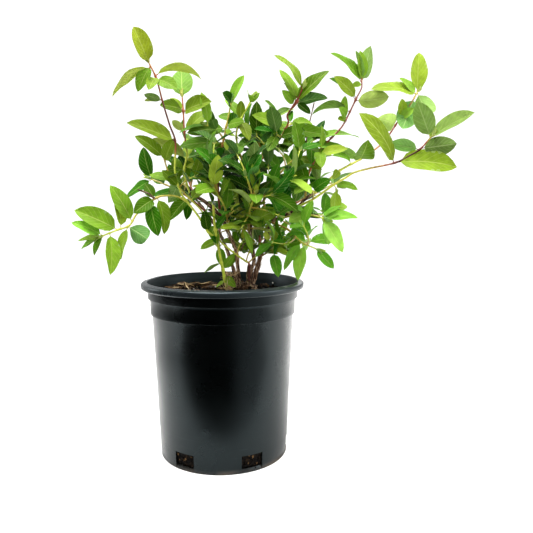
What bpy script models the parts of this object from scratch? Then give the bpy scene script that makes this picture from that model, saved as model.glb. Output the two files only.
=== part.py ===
"""Potted haskap bush: a young honeysuckle shrub in a round nursery pot.

Frame: metres, +Z up, +X to the right, -Y towards the front. The origin is the centre of the pot's base.
Every length below is in millimetres, and MM turns it into metres where a mesh is made.
"""

import math
import random

import bmesh
import bpy
from mathutils import Matrix, Vector, noise
from mathutils.bvhtree import BVHTree

MM = 0.001
GAP = 0.3  # room left between pieces that rest on or grow from each other

# Nursery pot, blow moulded with a rolled lip, a neck and one band under it
POT_HEIGHT = 176.6
LIP_RADIUS = 81.9
LIP_DEPTH = 7.0
RIM_INNER = 76.0
NECK_RADIUS = 75.7
NECK_BOTTOM = 160.4
BAND_RADIUS = 73.3
BAND_BOTTOM = 144.4
SHOULDER_RADIUS = 71.3
SHOULDER_HEIGHT = 142.0
BASE_RADIUS = 64.5
WALL = 1.5
FLOOR = 2.0
ROUND_STEPS = 44

DRAIN_COUNT = 6
DRAIN_FIRST = -66.0  # degrees, measured from +X
DRAIN_WIDTH = 21.5
DRAIN_BOTTOM = 1.0
DRAIN_TOP = 17.2

# Potting mix
SOIL_TOP = 161.0
SOIL_RINGS = (62.0, 44.0, 24.0)
SOIL_ROUGHNESS = 2.2
SOIL_MOUND = 5.0

# Root crown, where the canes leave the soil
CROWN_CENTRE = (24.0, 19.0, 159.0)
CROWN_RADII = (17.0, 14.0, 12.5)
CROWN_KNOBS = 2.2

# Leaf blades: an ovate outline as (share of the length, share of the half width)
BLADE_OUTLINE = ((0.30, 1.0), (0.66, 0.80))
BLADE_THICKNESS = 0.8
BLADE_WIDTH = 0.44  # width over length, where the leaf gives none
BLADE_FOLD = 0.18  # how far the margins stand above the midrib, over the half width
BLADE_DROOP = 0.06  # how far the tip falls, over the length
LEAF_ANGLE = 52.0  # degrees between a stem and the leaves of a pair
LIGHT = Vector((0.0, -1.0, 0.35))  # side that the upper faces of hand-placed leaves turn to
CLEARANCE = 0.35  # room kept round a blade when its place is chosen
LEAF_TRIES = (0, 12, -12, 24, -24, 38, -38)  # degrees that a blade may turn aside to miss a neighbour

# Bark chips lying in the potting mix: centre x, y, then length, width, turn in degrees
CHIPS = (
    (-44, 42, 17, 7, 20),
    (-30, 54, 14, 6, -35),
    (-30, 34, 12, 7, 70),
    (-12, 50, 15, 6, 10),
    (-58, 22, 11, 6, 50),
    (45, 41, 12, 6, -20),
    (-24, -44, 13, 6, 35),
    (34, -38, 10, 6, -60),
)
CHIP_THICKNESS = 3.4

# Bare stems: name, piece that each grows from, route, radius at the foot and at the tip
BARE_STEMS = (
    ("cane_left", "root_crown",
     [(18, 16, 162), (15, 14, 190), (13, 13, 206), (6, 11, 225), (-2, 10, 240), (-16, 9, 254), (-33, 9, 264)],
     2.1, 1.8),
    ("cane_middle", "root_crown",
     [(25, 15, 162), (29, 14, 183), (32, 14, 193), (31, 13, 206), (28, 12, 222), (29, 11, 240), (31, 8, 262),
      (31, 5, 288)], 2.2, 1.4),
    ("cane_right", "root_crown",
     [(29, 20, 162), (34, 17, 180), (38, 16, 193), (43, 14, 210), (47, 12, 226), (49, 10, 235), (57, 9, 238),
      (66, 8, 242), (76, 5, 250), (84, 2, 258), (92, 1, 265)], 2.4, 1.5),
    ("cane_back_left", "root_crown",
     [(17, 25, 162), (8, 34, 195), (-4, 46, 222), (-18, 58, 245), (-32, 70, 262)], 2.0, 1.3),
    ("cane_back_right", "root_crown",
     [(28, 26, 164), (40, 38, 196), (54, 50, 224), (66, 62, 246), (76, 76, 262)], 2.0, 1.3),
    ("cut_twig_left", "shoot_low_left",
     [(-64, -25, 258), (-70, -32, 263), (-78, -37, 266)], 0.9, 0.8),
    ("bare_twig_right", "shoot_centre_right",
     [(85, 12, 308), (88, 12, 330), (94, 12, 356)], 0.7, 0.5),
    ("dead_twig_left", "cane_middle",
     [(29, 12.5, 217), (22, 7, 213), (18, 4, 205)], 0.9, 0.6),
    ("dead_twig_right", "cane_right",
     [(43, 14, 210), (52, 18, 212), (59, 20, 220)], 0.9, 0.6),
)

# Leafy shoots: name, piece that each grows from, route, radius at the foot and at the tip, and leaves.
# A leaf is (share of the way along the shoot, bearing from +X, rise, length, roll, width over length).
# Angles are in degrees. A roll past 90 turns the leaf's underside to the front.
LEAFY_SHOOTS = (
    ("shoot_green", "soil",
     [(5, 12, 152), (4, 10, 166), (-1, 5, 191), (-4, 0, 207), (-6, -6, 219), (-8, -12, 235),
      (-9, -16, 252)], 1.9, 1.2,
     [(0.74, -10, 10, 50, 40, 0.41), (0.75, -20, 50, 20, 30, 0.47), (0.62, -115, 15, 15, 0, 0.56),
      (0.37, -170, -30, 21, 105, 0.43), (0.29, 20, 65, 20, 20, 0.46), (0.18, -170, -35, 12, 35, 0.47),
      (0.21, -35, -30, 17, 0, 0.55)]),
    ("shoot_tall_left", "shoot_green",
     [(-6, -6, 219), (-14, -8, 225), (-18, -10, 232), (-25, -13, 243), (-34, -16, 255), (-40, -19, 264),
      (-45, -21, 283), (-44, -23, 311), (-49, -25, 327), (-55, -27, 348), (-60, -28, 368),
      (-66, -30, 381)], 1.2, 0.8,
     [(1.00, -160, 60, 33, 15, 0.46), (0.99, -155, -65, 28, 0, 0.50), (0.98, -165, -40, 46, 80, 0.45),
      (0.94, -10, -10, 45, 80, 0.44), (0.93, -110, -45, 21, 0, 0.56), (0.92, -35, -25, 28, 0, 0.56),
      (0.81, -170, 15, 17, 155, 0.46), (0.81, 170, -5, 17, 105, 0.41), (0.60, -170, 15, 47, 20, 0.44),
      (0.36, -165, 45, 22, 0, 0.46), (0.06, -115, 65, 23, 0, 0.53)]),
    ("shoot_inner_left", "cane_left",
     [(-33, 9, 264), (-38, 5, 285), (-35, 3, 302), (-37, 2, 323), (-38, 5, 345), (-39, 8, 358)], 1.2, 0.8,
     [(1.00, 95, 50, 43, 0, 0.56), (0.86, -135, 0, 30, 0, 0.56), (0.87, 165, 40, 18, 0, 0.53),
      (0.85, -35, 10, 36, 0, 0.56), (0.63, 15, 40, 35, 15, 0.45), (0.65, -145, 35, 16, 155, 0.55),
      (0.36, -170, 25, 40, 105, 0.44), (0.28, -10, -5, 20, 25, 0.46), (0.25, -170, -5, 20, 25, 0.47)]),
    ("shoot_low_left", "shoot_tall_left",
     [(-34, -16, 255), (-43, -19, 260), (-53, -21, 261), (-64, -25, 258), (-80, -30, 244),
      (-87, -34, 233), (-97, -39, 229), (-109, -45, 224)], 1.1, 0.8,
     [(0.67, -160, 60, 39, 25, 0.46), (0.82, 145, 75, 32, 45, 0.46), (0.85, -170, 25, 40, 10, 0.45),
      (1.00, -165, 25, 30, 25, 0.46), (1.00, -170, -15, 23, 30, 0.43), (1.00, 170, -30, 25, 35, 0.43),
      (1.00, 160, -60, 21, 25, 0.40), (0.94, -75, -80, 39, 40, 0.45), (0.75, -130, -75, 32, 30, 0.40),
      (0.74, -50, -15, 35, 170, 0.56), (0.35, -135, -30, 28, 0, 0.56), (0.40, -45, -75, 34, 0, 0.46),
      (0.32, 40, -75, 36, 35, 0.46), (0.35, 130, 45, 21, 0, 0.56)]),
    ("shoot_left_core", "root_crown",
     [(26, 11, 163), (27, 8, 190), (23, 5, 195), (12, 4, 203), (-1, 5, 214), (-10, 4, 226), (-20, 2, 245),
      (-32, -1, 258), (-43, -4, 270), (-52, -6, 283), (-57, -5, 298)], 1.1, 0.8,
     [(1.00, -170, 40, 34, 10, 0.44), (0.97, -60, 50, 30, 5, 0.46), (0.86, 150, 10, 30, 20, 0.44),
      (0.85, -80, 10, 34, 5, 0.46), (0.72, -140, -40, 34, 5, 0.44), (0.70, 60, 30, 30, 10, 0.44),
      (0.52, -60, -50, 26, 10, 0.44)]),
    ("shoot_top_left", "cane_left",
     [(-2, 10, 240), (-4, 4, 262), (-4, 2, 290), (2, 0, 318), (9, -2, 351)], 1.3, 0.8,
     [(1.00, -20, 60, 30, 35, 0.46), (0.99, -110, 20, 26, 0, 0.56), (0.79, -170, -10, 39, 10, 0.46),
      (0.82, -45, 0, 24, 0, 0.56), (0.70, -20, -55, 26, 0, 0.50), (0.80, 30, 35, 30, 20, 0.44),
      (0.66, -170, -5, 44, 10, 0.42), (0.64, -50, -40, 30, 10, 0.44), (0.48, -95, 20, 34, 5, 0.46),
      (0.32, -150, 25, 32, 10, 0.44)]),
    ("shoot_top_centre", "cane_middle",
     [(31, 8, 262), (24, 4, 285), (15, -3, 312), (16, -5, 330), (29, -6, 354)], 1.2, 0.8,
     [(0.96, -10, 45, 14, 0, 0.46), (0.78, 55, 80, 20, 0, 0.49), (0.97, -100, 10, 26, 5, 0.46),
      (0.80, 140, 45, 28, 10, 0.42), (0.78, -60, -50, 28, 10, 0.44), (0.60, -110, 0, 34, 5, 0.46),
      (0.42, 170, 20, 32, 10, 0.44)]),
    ("shoot_top_middle", "cane_middle",
     [(31, 5, 288), (46, 1, 305), (57, -5, 317), (65, -8, 332), (64, -12, 340), (72, -17, 351),
      (77, -20, 362)], 1.3, 0.8,
     [(1.00, -165, 45, 42, 40, 0.45), (0.89, 160, 55, 35, 25, 0.47), (0.82, -155, 45, 19, 0, 0.56),
      (0.80, -165, -30, 22, 35, 0.44), (0.87, -15, 40, 43, 25, 0.41), (0.88, 55, 50, 20, 0, 0.56),
      (0.86, 160, 60, 23, 25, 0.46), (0.84, -10, 10, 32, 115, 0.46), (0.86, -15, -40, 18, 0, 0.50),
      (0.56, -160, 15, 38, 10, 0.42), (0.54, 0, -10, 40, 10, 0.42), (0.32, -100, 30, 34, 5, 0.46)]),
    ("shoot_centre_right", "cane_middle",
     [(29, 11, 240), (42, 14, 262), (58, 16, 283), (72, 14, 298), (85, 12, 308), (93, 11, 318)], 1.2, 0.8,
     [(0.98, 20, 55, 27, 30, 0.46), (0.96, -12, -7, 38, 30, 0.40), (0.99, -115, -75, 24, 5, 0.51),
      (1.00, 10, 5, 50, 40, 0.42), (0.88, -150, 40, 26, 0, 0.56), (0.78, -10, -30, 29, 15, 0.47),
      (0.56, -160, 40, 32, 10, 0.44), (0.40, -40, -20, 30, 10, 0.44)]),
    ("shoot_upper_right", "cane_right",
     [(84, 2, 258), (86, 6, 276), (92, 8, 293), (101, 9, 309), (121, 11, 330), (127, 14, 339),
      (131, 16, 346), (139, 19, 362), (145, 22, 373), (146, 25, 381)], 1.3, 0.8,
     [(1.00, 30, 70, 40, 170, 0.46), (1.00, -120, 80, 30, 20, 0.45), (1.00, -145, 70, 31, 95, 0.44),
      (0.99, -170, 35, 45, 25, 0.43), (0.98, -165, -15, 13, 0, 0.56), (0.85, -165, 35, 33, 0, 0.50),
      (0.84, 170, 35, 35, 85, 0.40), (0.83, -30, -5, 35, 145, 0.56), (0.67, 85, 80, 25, 50, 0.45),
      (0.67, -125, 25, 22, 0, 0.56), (0.66, -135, 0, 15, 0, 0.56), (0.74, 170, -5, 40, 90, 0.39),
      (0.50, 170, 20, 28, 5, 0.44), (0.34, 20, 20, 30, 20, 0.42)]),
    ("shoot_right", "cane_right",
     [(92, 1, 265), (98, 1, 268), (115, 2, 284), (128, 4, 292), (143, 6, 300), (165, 9, 316),
      (182, 11, 339), (194, 13, 355), (202, 15, 368)], 1.4, 0.8,
     [(1.00, 90, 80, 43, 5, 0.46), (0.99, -170, 35, 25, 5, 0.47), (1.00, -85, -45, 29, 145, 0.56),
      (0.99, -170, 0, 51, 25, 0.42), (0.96, -130, -55, 35, 180, 0.56), (0.80, -105, 55, 15, 0, 0.56),
      (0.78, -35, 35, 11, 0, 0.56), (0.73, 105, 25, 37, 130, 0.56), (0.39, -90, 25, 39, 5, 0.56),
      (0.39, -170, 10, 30, 115, 0.45), (0.32, -170, 20, 24, 30, 0.43), (0.23, -140, -30, 16, 0, 0.56)]),
    ("shoot_far_right", "cane_right",
     [(76, 5, 250), (83, -4, 254), (92, -8, 259), (112, -11, 273), (122, -13, 279), (130, -16, 284),
      (145, -20, 288), (168, -25, 293), (182, -28, 300), (191, -31, 306), (199, -35, 316)], 1.3, 0.8,
     [(0.72, -165, 45, 60, 25, 0.44), (0.74, -10, -5, 57, 15, 0.46), (0.91, -25, 5, 24, 155, 0.56),
      (1.00, -150, 60, 30, 145, 0.50), (1.00, 55, 40, 16, 5, 0.56), (1.00, -10, 30, 47, 115, 0.42),
      (0.90, 170, 10, 25, 130, 0.46)]),
    ("shoot_low_right", "cane_right",
     [(57, 9, 238), (74, -4, 242), (88, -10, 242), (99, -17, 239)], 1.1, 0.8,
     [(0.97, -10, 0, 36, 25, 0.46), (0.97, 10, 30, 26, 40, 0.43), (1.00, -10, 15, 17, 25, 0.47),
      (1.00, -20, -60, 39, 10, 0.45), (1.00, 35, -70, 28, 15, 0.46), (0.61, -140, -15, 26, 0, 0.56),
      (0.60, -120, 10, 30, 15, 0.44), (0.40, -60, -40, 28, 10, 0.44)]),
    ("shoot_hanging_right", "cane_right",
     [(49, 10, 235), (65, -3, 228), (79, -9, 215), (92, -16, 209)], 1.1, 0.8,
     [(1.00, -15, -50, 27, 10, 0.45), (0.79, -125, -75, 38, 45, 0.45), (0.72, -160, -55, 34, 40, 0.41),
      (0.36, -155, -65, 41, 55, 0.39), (0.41, -35, -10, 23, 0, 0.56)]),
    ("shoot_front_left", "cane_left",
     [(6, 11, 225), (5, -6, 234), (2, -24, 250), (-8, -42, 268)], 1.2, 0.8, []),
    ("shoot_front_middle", "cane_middle",
     [(28, 12, 222), (26, -6, 231), (26, -28, 246), (30, -50, 262)], 1.2, 0.8, []),
    ("shoot_front_right", "cane_right",
     [(49, 10, 235), (43, 5, 249), (42, -6, 260), (52, -28, 266), (62, -46, 276)], 1.2, 0.8, []),
    ("shoot_back_left", "cane_back_left",
     [(-32, 70, 262), (-38, 83, 282), (-42, 92, 304), (-40, 99, 324)], 1.3, 0.8, []),
    ("shoot_back_far_left", "cane_back_left",
     [(-18, 58, 245), (-36, 52, 260), (-56, 50, 272), (-76, 52, 280)], 1.2, 0.8, []),
    ("shoot_back_centre", "cane_back_left",
     [(-4, 46, 222), (2, 62, 244), (10, 82, 262), (16, 98, 284)], 1.2, 0.8, []),
    ("shoot_back_right", "cane_back_right",
     [(76, 76, 262), (84, 87, 282), (90, 95, 302), (92, 100, 318)], 1.3, 0.8, []),
    ("shoot_back_far_right", "cane_back_right",
     [(66, 62, 246), (84, 58, 256), (104, 58, 266), (124, 62, 276)], 1.2, 0.8, []),
    ("shoot_back_top", "cane_back_right",
     [(40, 38, 196), (40, 44, 228), (38, 46, 262), (42, 48, 296), (46, 50, 326)], 1.4, 0.8, []),
)
PAIR_SPACING = 21.0  # along a shoot whose leaves all follow the rule of opposite pairs
PAIR_START = 0.34  # share of such a shoot that is bare
PAIR_LENGTH = 37.0
CANES = ("cane_left", "cane_middle", "cane_right", "cane_back_left", "cane_back_right")


def srgb(hex_colour):
    """sRGB hex digits as a linear colour with full alpha."""
    parts = [int(hex_colour[i:i + 2], 16) / 255 for i in (0, 2, 4)]
    return [c / 12.92 if c <= 0.04045 else ((c + 0.055) / 1.055) ** 2.4 for c in parts] + [1.0]


def make_material(name, hex_colour, roughness):
    material = bpy.data.materials.new(name)
    material.use_nodes = True
    shader = material.node_tree.nodes["Principled BSDF"]
    shader.inputs["Base Color"].default_value = srgb(hex_colour)
    shader.inputs["Roughness"].default_value = roughness
    shader.inputs["Metallic"].default_value = 0.0
    return material


def clear_scene():
    for obj in list(bpy.data.objects):
        bpy.data.objects.remove(obj, do_unlink=True)


def make_collection(name):
    collection = bpy.data.collections.new(name)
    bpy.context.scene.collection.children.link(collection)
    return collection


def add_object(name, mesh, collection, material=None):
    obj = bpy.data.objects.new(name, mesh)
    if material:
        mesh.materials.clear()
        mesh.materials.append(material)
    collection.objects.link(obj)
    return obj


def add_helper(name, mesh, collection):
    """A cutter or a piece to be joined: shown as wire and left out of renders."""
    obj = add_object(name, mesh, collection)
    obj.hide_render = True
    obj.display_type = "WIRE"
    return obj


def evaluated_mesh(obj):
    """The object's mesh with its modifiers applied and loose ends welded."""
    bpy.context.view_layer.update()
    graph = bpy.context.evaluated_depsgraph_get()
    mesh = bpy.data.meshes.new_from_object(obj.evaluated_get(graph))
    cage = bmesh.new()
    cage.from_mesh(mesh)
    bmesh.ops.remove_doubles(cage, verts=cage.verts, dist=0.001 * MM)
    bmesh.ops.recalc_face_normals(cage, faces=cage.faces)
    cage.to_mesh(mesh)
    cage.free()
    return mesh


def surface_tree(mesh):
    """A search tree of a mesh that is already in world coordinates."""
    return BVHTree.FromPolygons([v.co for v in mesh.vertices], [tuple(p.vertices) for p in mesh.polygons])


def turned_mesh(profile, steps):
    """A profile of (radius, height) turned about Z. It runs down its outer side, top to bottom."""
    mesh = bpy.data.meshes.new("profile")
    points = [(radius * MM, 0.0, height * MM) for radius, height in profile]
    mesh.from_pydata(points, [(i, i + 1) for i in range(len(points) - 1)], [])
    obj = bpy.data.objects.new("profile", mesh)
    bpy.context.scene.collection.objects.link(obj)
    screw = obj.modifiers.new("Turn", "SCREW")
    screw.steps = steps
    screw.render_steps = steps
    screw.use_merge_vertices = True
    screw.merge_threshold = 0.00001
    result = evaluated_mesh(obj)
    bpy.data.objects.remove(obj, do_unlink=True)
    return result


def tube_mesh(route, radius_start, radius_end, sides_step, extra=0.0):
    """A tapering round stem along the route. extra makes it fatter and longer, for a cutter."""
    points = [Vector(p) for p in route]
    points[0] -= (points[1] - points[0]).normalized() * extra
    points[-1] += (points[-1] - points[-2]).normalized() * extra
    curve = bpy.data.curves.new("stem", "CURVE")
    curve.dimensions = "3D"
    curve.bevel_depth = MM
    curve.bevel_resolution = sides_step
    curve.use_fill_caps = True
    spline = curve.splines.new("POLY")
    spline.points.add(len(points) - 1)
    for i, point in enumerate(points):
        share = i / (len(points) - 1)
        spline.points[i].co = (*(point * MM), 1.0)
        spline.points[i].radius = radius_start + (radius_end - radius_start) * share + extra
    obj = bpy.data.objects.new("stem", curve)
    bpy.context.scene.collection.objects.link(obj)
    mesh = evaluated_mesh(obj)
    bpy.data.objects.remove(obj, do_unlink=True)
    return mesh


def along(route, share):
    """(point, direction) at a share of the route's length."""
    points = [Vector(p) for p in route]
    lengths = [(b - a).length for a, b in zip(points, points[1:])]
    left = share * sum(lengths)
    for a, b, length in zip(points, points[1:], lengths):
        if left <= length or b is points[-1]:
            return a.lerp(b, min(1.0, left / length)), (b - a).normalized()
        left -= length
    return points[-1], (points[-1] - points[-2]).normalized()


def blade_mesh(base, direction, face, length, width, extra=0.0):
    """One leaf: a folded ovate blade from base along direction, its upper side towards face."""
    across = direction.cross(face).normalized()
    up = across.cross(direction).normalized()
    half = length * width / 2 + extra
    cage = bmesh.new()

    def corner(share, side, height):
        droop = -BLADE_DROOP * length * share * share
        place = base + direction * (length * share) + across * (side * half) + up * (height * half + droop)
        return cage.verts.new(place * MM)

    foot = corner(0.0, 0.0, 0.0)
    tip = corner(1.0, 0.0, 0.0)
    rows = [(corner(s, -w, BLADE_FOLD * w), corner(s, 0.0, 0.0), corner(s, w, BLADE_FOLD * w))
            for s, w in BLADE_OUTLINE]
    first, last = rows[0], rows[-1]
    cage.faces.new((foot, first[1], first[0]))
    cage.faces.new((foot, first[2], first[1]))
    for low, high in zip(rows, rows[1:]):
        cage.faces.new((low[0], low[1], high[1], high[0]))
        cage.faces.new((low[1], low[2], high[2], high[1]))
    cage.faces.new((last[0], last[1], tip))
    cage.faces.new((last[1], last[2], tip))
    thickness = BLADE_THICKNESS + 2 * extra
    bmesh.ops.translate(cage, verts=cage.verts, vec=up * (thickness / 2 * MM))
    bmesh.ops.solidify(cage, geom=cage.faces, thickness=thickness * MM)
    bmesh.ops.recalc_face_normals(cage, faces=cage.faces)
    bmesh.ops.triangulate(cage, faces=cage.faces)
    mesh = bpy.data.meshes.new("blade")
    cage.to_mesh(mesh)
    cage.free()
    return mesh


def bearing(compass, rise):
    """Unit direction from a compass bearing about +Z and a rise above the level, in degrees."""
    turn, lift = math.radians(compass), math.radians(rise)
    return Vector((math.cos(turn) * math.cos(lift), math.sin(turn) * math.cos(lift), math.sin(lift)))


def placed_leaves(route, leaves):
    """(base, direction, face, length, width) of the listed leaves. A roll goes the way that faces up."""
    for share, compass, rise, length, roll, width in leaves:
        base = along(route, share)[0]
        direction = bearing(compass, rise)
        front = LIGHT - direction * LIGHT.dot(direction)
        faces = [Matrix.Rotation(math.radians(turn), 3, direction) @ front for turn in (roll, -roll)]
        yield base, direction, max(faces, key=lambda face: face.z), length, width


def paired_leaves(route, draw):
    """(base, direction, face, length, width) of opposite pairs, each at right angles to the last one."""
    total = sum((Vector(b) - Vector(a)).length for a, b in zip(route, route[1:]))
    count = max(2, round(total * (1 - PAIR_START) / PAIR_SPACING) + 1)
    lean = math.radians(LEAF_ANGLE)
    for pair in range(count):
        share = PAIR_START + (1 - PAIR_START) * pair / (count - 1)
        base, forward = along(route, share)
        level = forward.cross(Vector((0, 0, 1))).normalized()
        side = level if pair % 2 == 0 else level.cross(forward).normalized()
        for sign in (-1, 1):
            outward = side * sign + Vector([draw.uniform(-0.25, 0.25) for _ in range(3)])
            direction = (forward * math.cos(lean) + outward * math.sin(lean)).normalized()
            face = Vector((0, -0.4, 1)) + forward * 0.2
            face -= direction * face.dot(direction)
            length = PAIR_LENGTH * draw.uniform(0.85, 1.05) * (1 - 0.12 * share)
            yield base, direction, face, length, BLADE_WIDTH


def free_place(leaf, others):
    """The leaf's blade, turned aside until it misses every tree in others, or None if it cannot."""
    base, direction, face, length, width = leaf
    for turn in LEAF_TRIES:
        for axis in (face, direction.cross(face)):
            turned = Matrix.Rotation(math.radians(turn), 3, axis) @ direction
            room = blade_mesh(base, turned, face, length, width, CLEARANCE)
            tree = surface_tree(room)
            bpy.data.meshes.remove(room)
            if not any(tree.overlap(other) for other in others):
                return blade_mesh(base, turned, face, length, width)
    return None


def boolean(obj, operation, helper):
    """Joins or cuts with one helper object or with every object of a collection."""
    modifier = obj.modifiers.new(operation.title(), "BOOLEAN")
    modifier.operation = operation
    if isinstance(helper, bpy.types.Collection):
        modifier.operand_type = "COLLECTION"
        modifier.collection = helper
    else:
        modifier.object = helper
    return modifier


def pot_inner():
    """Inside of the pot as (radius, height), from the floor's middle up to the rim."""
    return [
        (0.0, FLOOR),
        (BASE_RADIUS - WALL - 0.9, FLOOR),
        (BASE_RADIUS - WALL, FLOOR + 1.2),
        (SHOULDER_RADIUS - WALL, SHOULDER_HEIGHT + 0.5),
        (BAND_RADIUS - WALL - 0.2, BAND_BOTTOM + 1.0),
        (BAND_RADIUS - WALL, NECK_BOTTOM - 2.0),
        (NECK_RADIUS - WALL, NECK_BOTTOM + 1.0),
        (RIM_INNER - 0.7, POT_HEIGHT - 3.0),
        (RIM_INNER, POT_HEIGHT - 0.6),
    ]


def pot_outer():
    """Rim, rolled lip and outside of the pot as (radius, height), from the rim down to the base's middle."""
    lip_bottom = POT_HEIGHT - LIP_DEPTH
    return [
        (RIM_INNER + 0.9, POT_HEIGHT),
        (LIP_RADIUS - 3.2, POT_HEIGHT - 0.5),
        (LIP_RADIUS - 1.2, POT_HEIGHT - 1.5),
        (LIP_RADIUS, POT_HEIGHT - 4.2),
        (LIP_RADIUS - 0.5, lip_bottom + 0.7),
        (LIP_RADIUS - 2.0, lip_bottom),
        (NECK_RADIUS + 0.9, lip_bottom),
        (NECK_RADIUS, lip_bottom - 0.9),
        (NECK_RADIUS, NECK_BOTTOM + 0.6),
        (BAND_RADIUS + 0.5, NECK_BOTTOM - 1.6),
        (BAND_RADIUS - 0.2, BAND_BOTTOM),
        (SHOULDER_RADIUS, SHOULDER_HEIGHT),
        (BASE_RADIUS, 0.6),
        (BASE_RADIUS - 0.6, 0.0),
        (0.0, 0.0),
    ]


def inner_radius(height):
    """Radius of the pot's inside at a height."""
    profile = pot_inner()[1:]
    for (low_r, low_z), (high_r, high_z) in zip(profile, profile[1:]):
        if low_z <= height <= high_z:
            return low_r + (high_r - low_r) * (height - low_z) / (high_z - low_z)
    return profile[-1][0]


def make_pot(parts, helpers, material):
    mesh = turned_mesh(pot_inner() + pot_outer(), ROUND_STEPS)
    pot = add_object("pot", mesh, parts, material)
    slots = bpy.data.collections.new("drain slots")
    helpers.children.link(slots)
    for i in range(DRAIN_COUNT):
        cage = bmesh.new()
        bmesh.ops.create_cube(cage, size=MM)
        bmesh.ops.scale(cage, verts=cage.verts, vec=(14.0, DRAIN_WIDTH, DRAIN_TOP - DRAIN_BOTTOM))
        place = Vector((BASE_RADIUS, 0.0, (DRAIN_TOP + DRAIN_BOTTOM) / 2)) * MM
        bmesh.ops.translate(cage, verts=cage.verts, vec=place)
        turn = Matrix.Rotation(math.radians(DRAIN_FIRST + i * 360.0 / DRAIN_COUNT), 3, "Z")
        bmesh.ops.rotate(cage, verts=cage.verts, matrix=turn)
        cutter = bpy.data.meshes.new("drain_slot")
        cage.to_mesh(cutter)
        cage.free()
        add_helper(f"drain_slot_{i + 1}", cutter, slots)
    boolean(pot, "DIFFERENCE", slots)
    pot.data.shade_smooth()
    pot.data.set_sharp_from_angle(angle=math.radians(35))
    return pot


def soil_height(x, y):
    """Height of the potting mix: rough, a little higher at the back left, heaped round the crown."""
    waves = noise.noise(Vector((x, y, 3.0)) / 16.0) + 0.6 * noise.noise(Vector((x, y, 9.0)) / 7.0)
    away = math.hypot(x - CROWN_CENTRE[0], y - CROWN_CENTRE[1])
    heap = SOIL_MOUND * math.exp(-(away / 24.0) ** 2)
    return SOIL_TOP + SOIL_ROUGHNESS * waves + heap - 0.02 * x + 0.012 * y


def make_soil(parts, material):
    """Potting mix filling the pot, GAP clear of its inside all the way down."""
    edge = SOIL_TOP - 1.0
    heights = [edge, NECK_BOTTOM - 2.0, SHOULDER_HEIGHT - 2.0, FLOOR + 1.6]
    profile = [(0.0, SOIL_TOP)] + [(ring, SOIL_TOP) for ring in reversed(SOIL_RINGS)]
    profile += [(inner_radius(z) - GAP, z) for z in heights]
    profile += [(BASE_RADIUS - WALL - 0.9 - GAP, FLOOR + GAP), (0.0, FLOOR + GAP)]
    mesh = turned_mesh(profile, ROUND_STEPS)
    for vertex in mesh.vertices:
        if vertex.co.z > (edge + 0.5) * MM:
            vertex.co.z = soil_height(vertex.co.x / MM, vertex.co.y / MM) * MM
    return add_object("soil", mesh, parts, material)


def crown_mesh(extra=0.0):
    """The knobbly root crown. extra makes it fatter, for the pocket that it sits in."""
    cage = bmesh.new()
    bmesh.ops.create_icosphere(cage, subdivisions=3, radius=1.0)
    for vertex in cage.verts:
        knob = 1 + CROWN_KNOBS / CROWN_RADII[0] * noise.noise(vertex.co * 2.6)
        size = Vector([radius * knob + extra for radius in CROWN_RADII])
        vertex.co = (Vector(CROWN_CENTRE) + vertex.co * size) * MM
    mesh = bpy.data.meshes.new("crown")
    cage.to_mesh(mesh)
    cage.free()
    return mesh


def chip_mesh(x, y, length, width, turn, extra=0.0):
    """A split flake of bark lying half sunk in the potting mix."""
    cage = bmesh.new()
    bmesh.ops.create_cube(cage, size=1.0)
    size = (length + 2 * extra, width + 2 * extra, CHIP_THICKNESS + 2 * extra)
    for vertex in cage.verts:
        taper = 0.72 if vertex.co.x > 0 else 1.0
        vertex.co = Vector((vertex.co.x * size[0], vertex.co.y * size[1] * taper, vertex.co.z * size[2]))
    tilt = Matrix.Rotation(math.radians(turn), 3, "Z") @ Matrix.Rotation(math.radians(turn / 8), 3, "Y")
    bmesh.ops.rotate(cage, verts=cage.verts, matrix=tilt)
    bmesh.ops.translate(cage, verts=cage.verts, vec=Vector((x, y, soil_height(x, y) + 0.4)))
    bmesh.ops.scale(cage, verts=cage.verts, vec=(MM, MM, MM))
    mesh = bpy.data.meshes.new("bark_chip")
    cage.to_mesh(mesh)
    cage.free()
    return mesh


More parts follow.
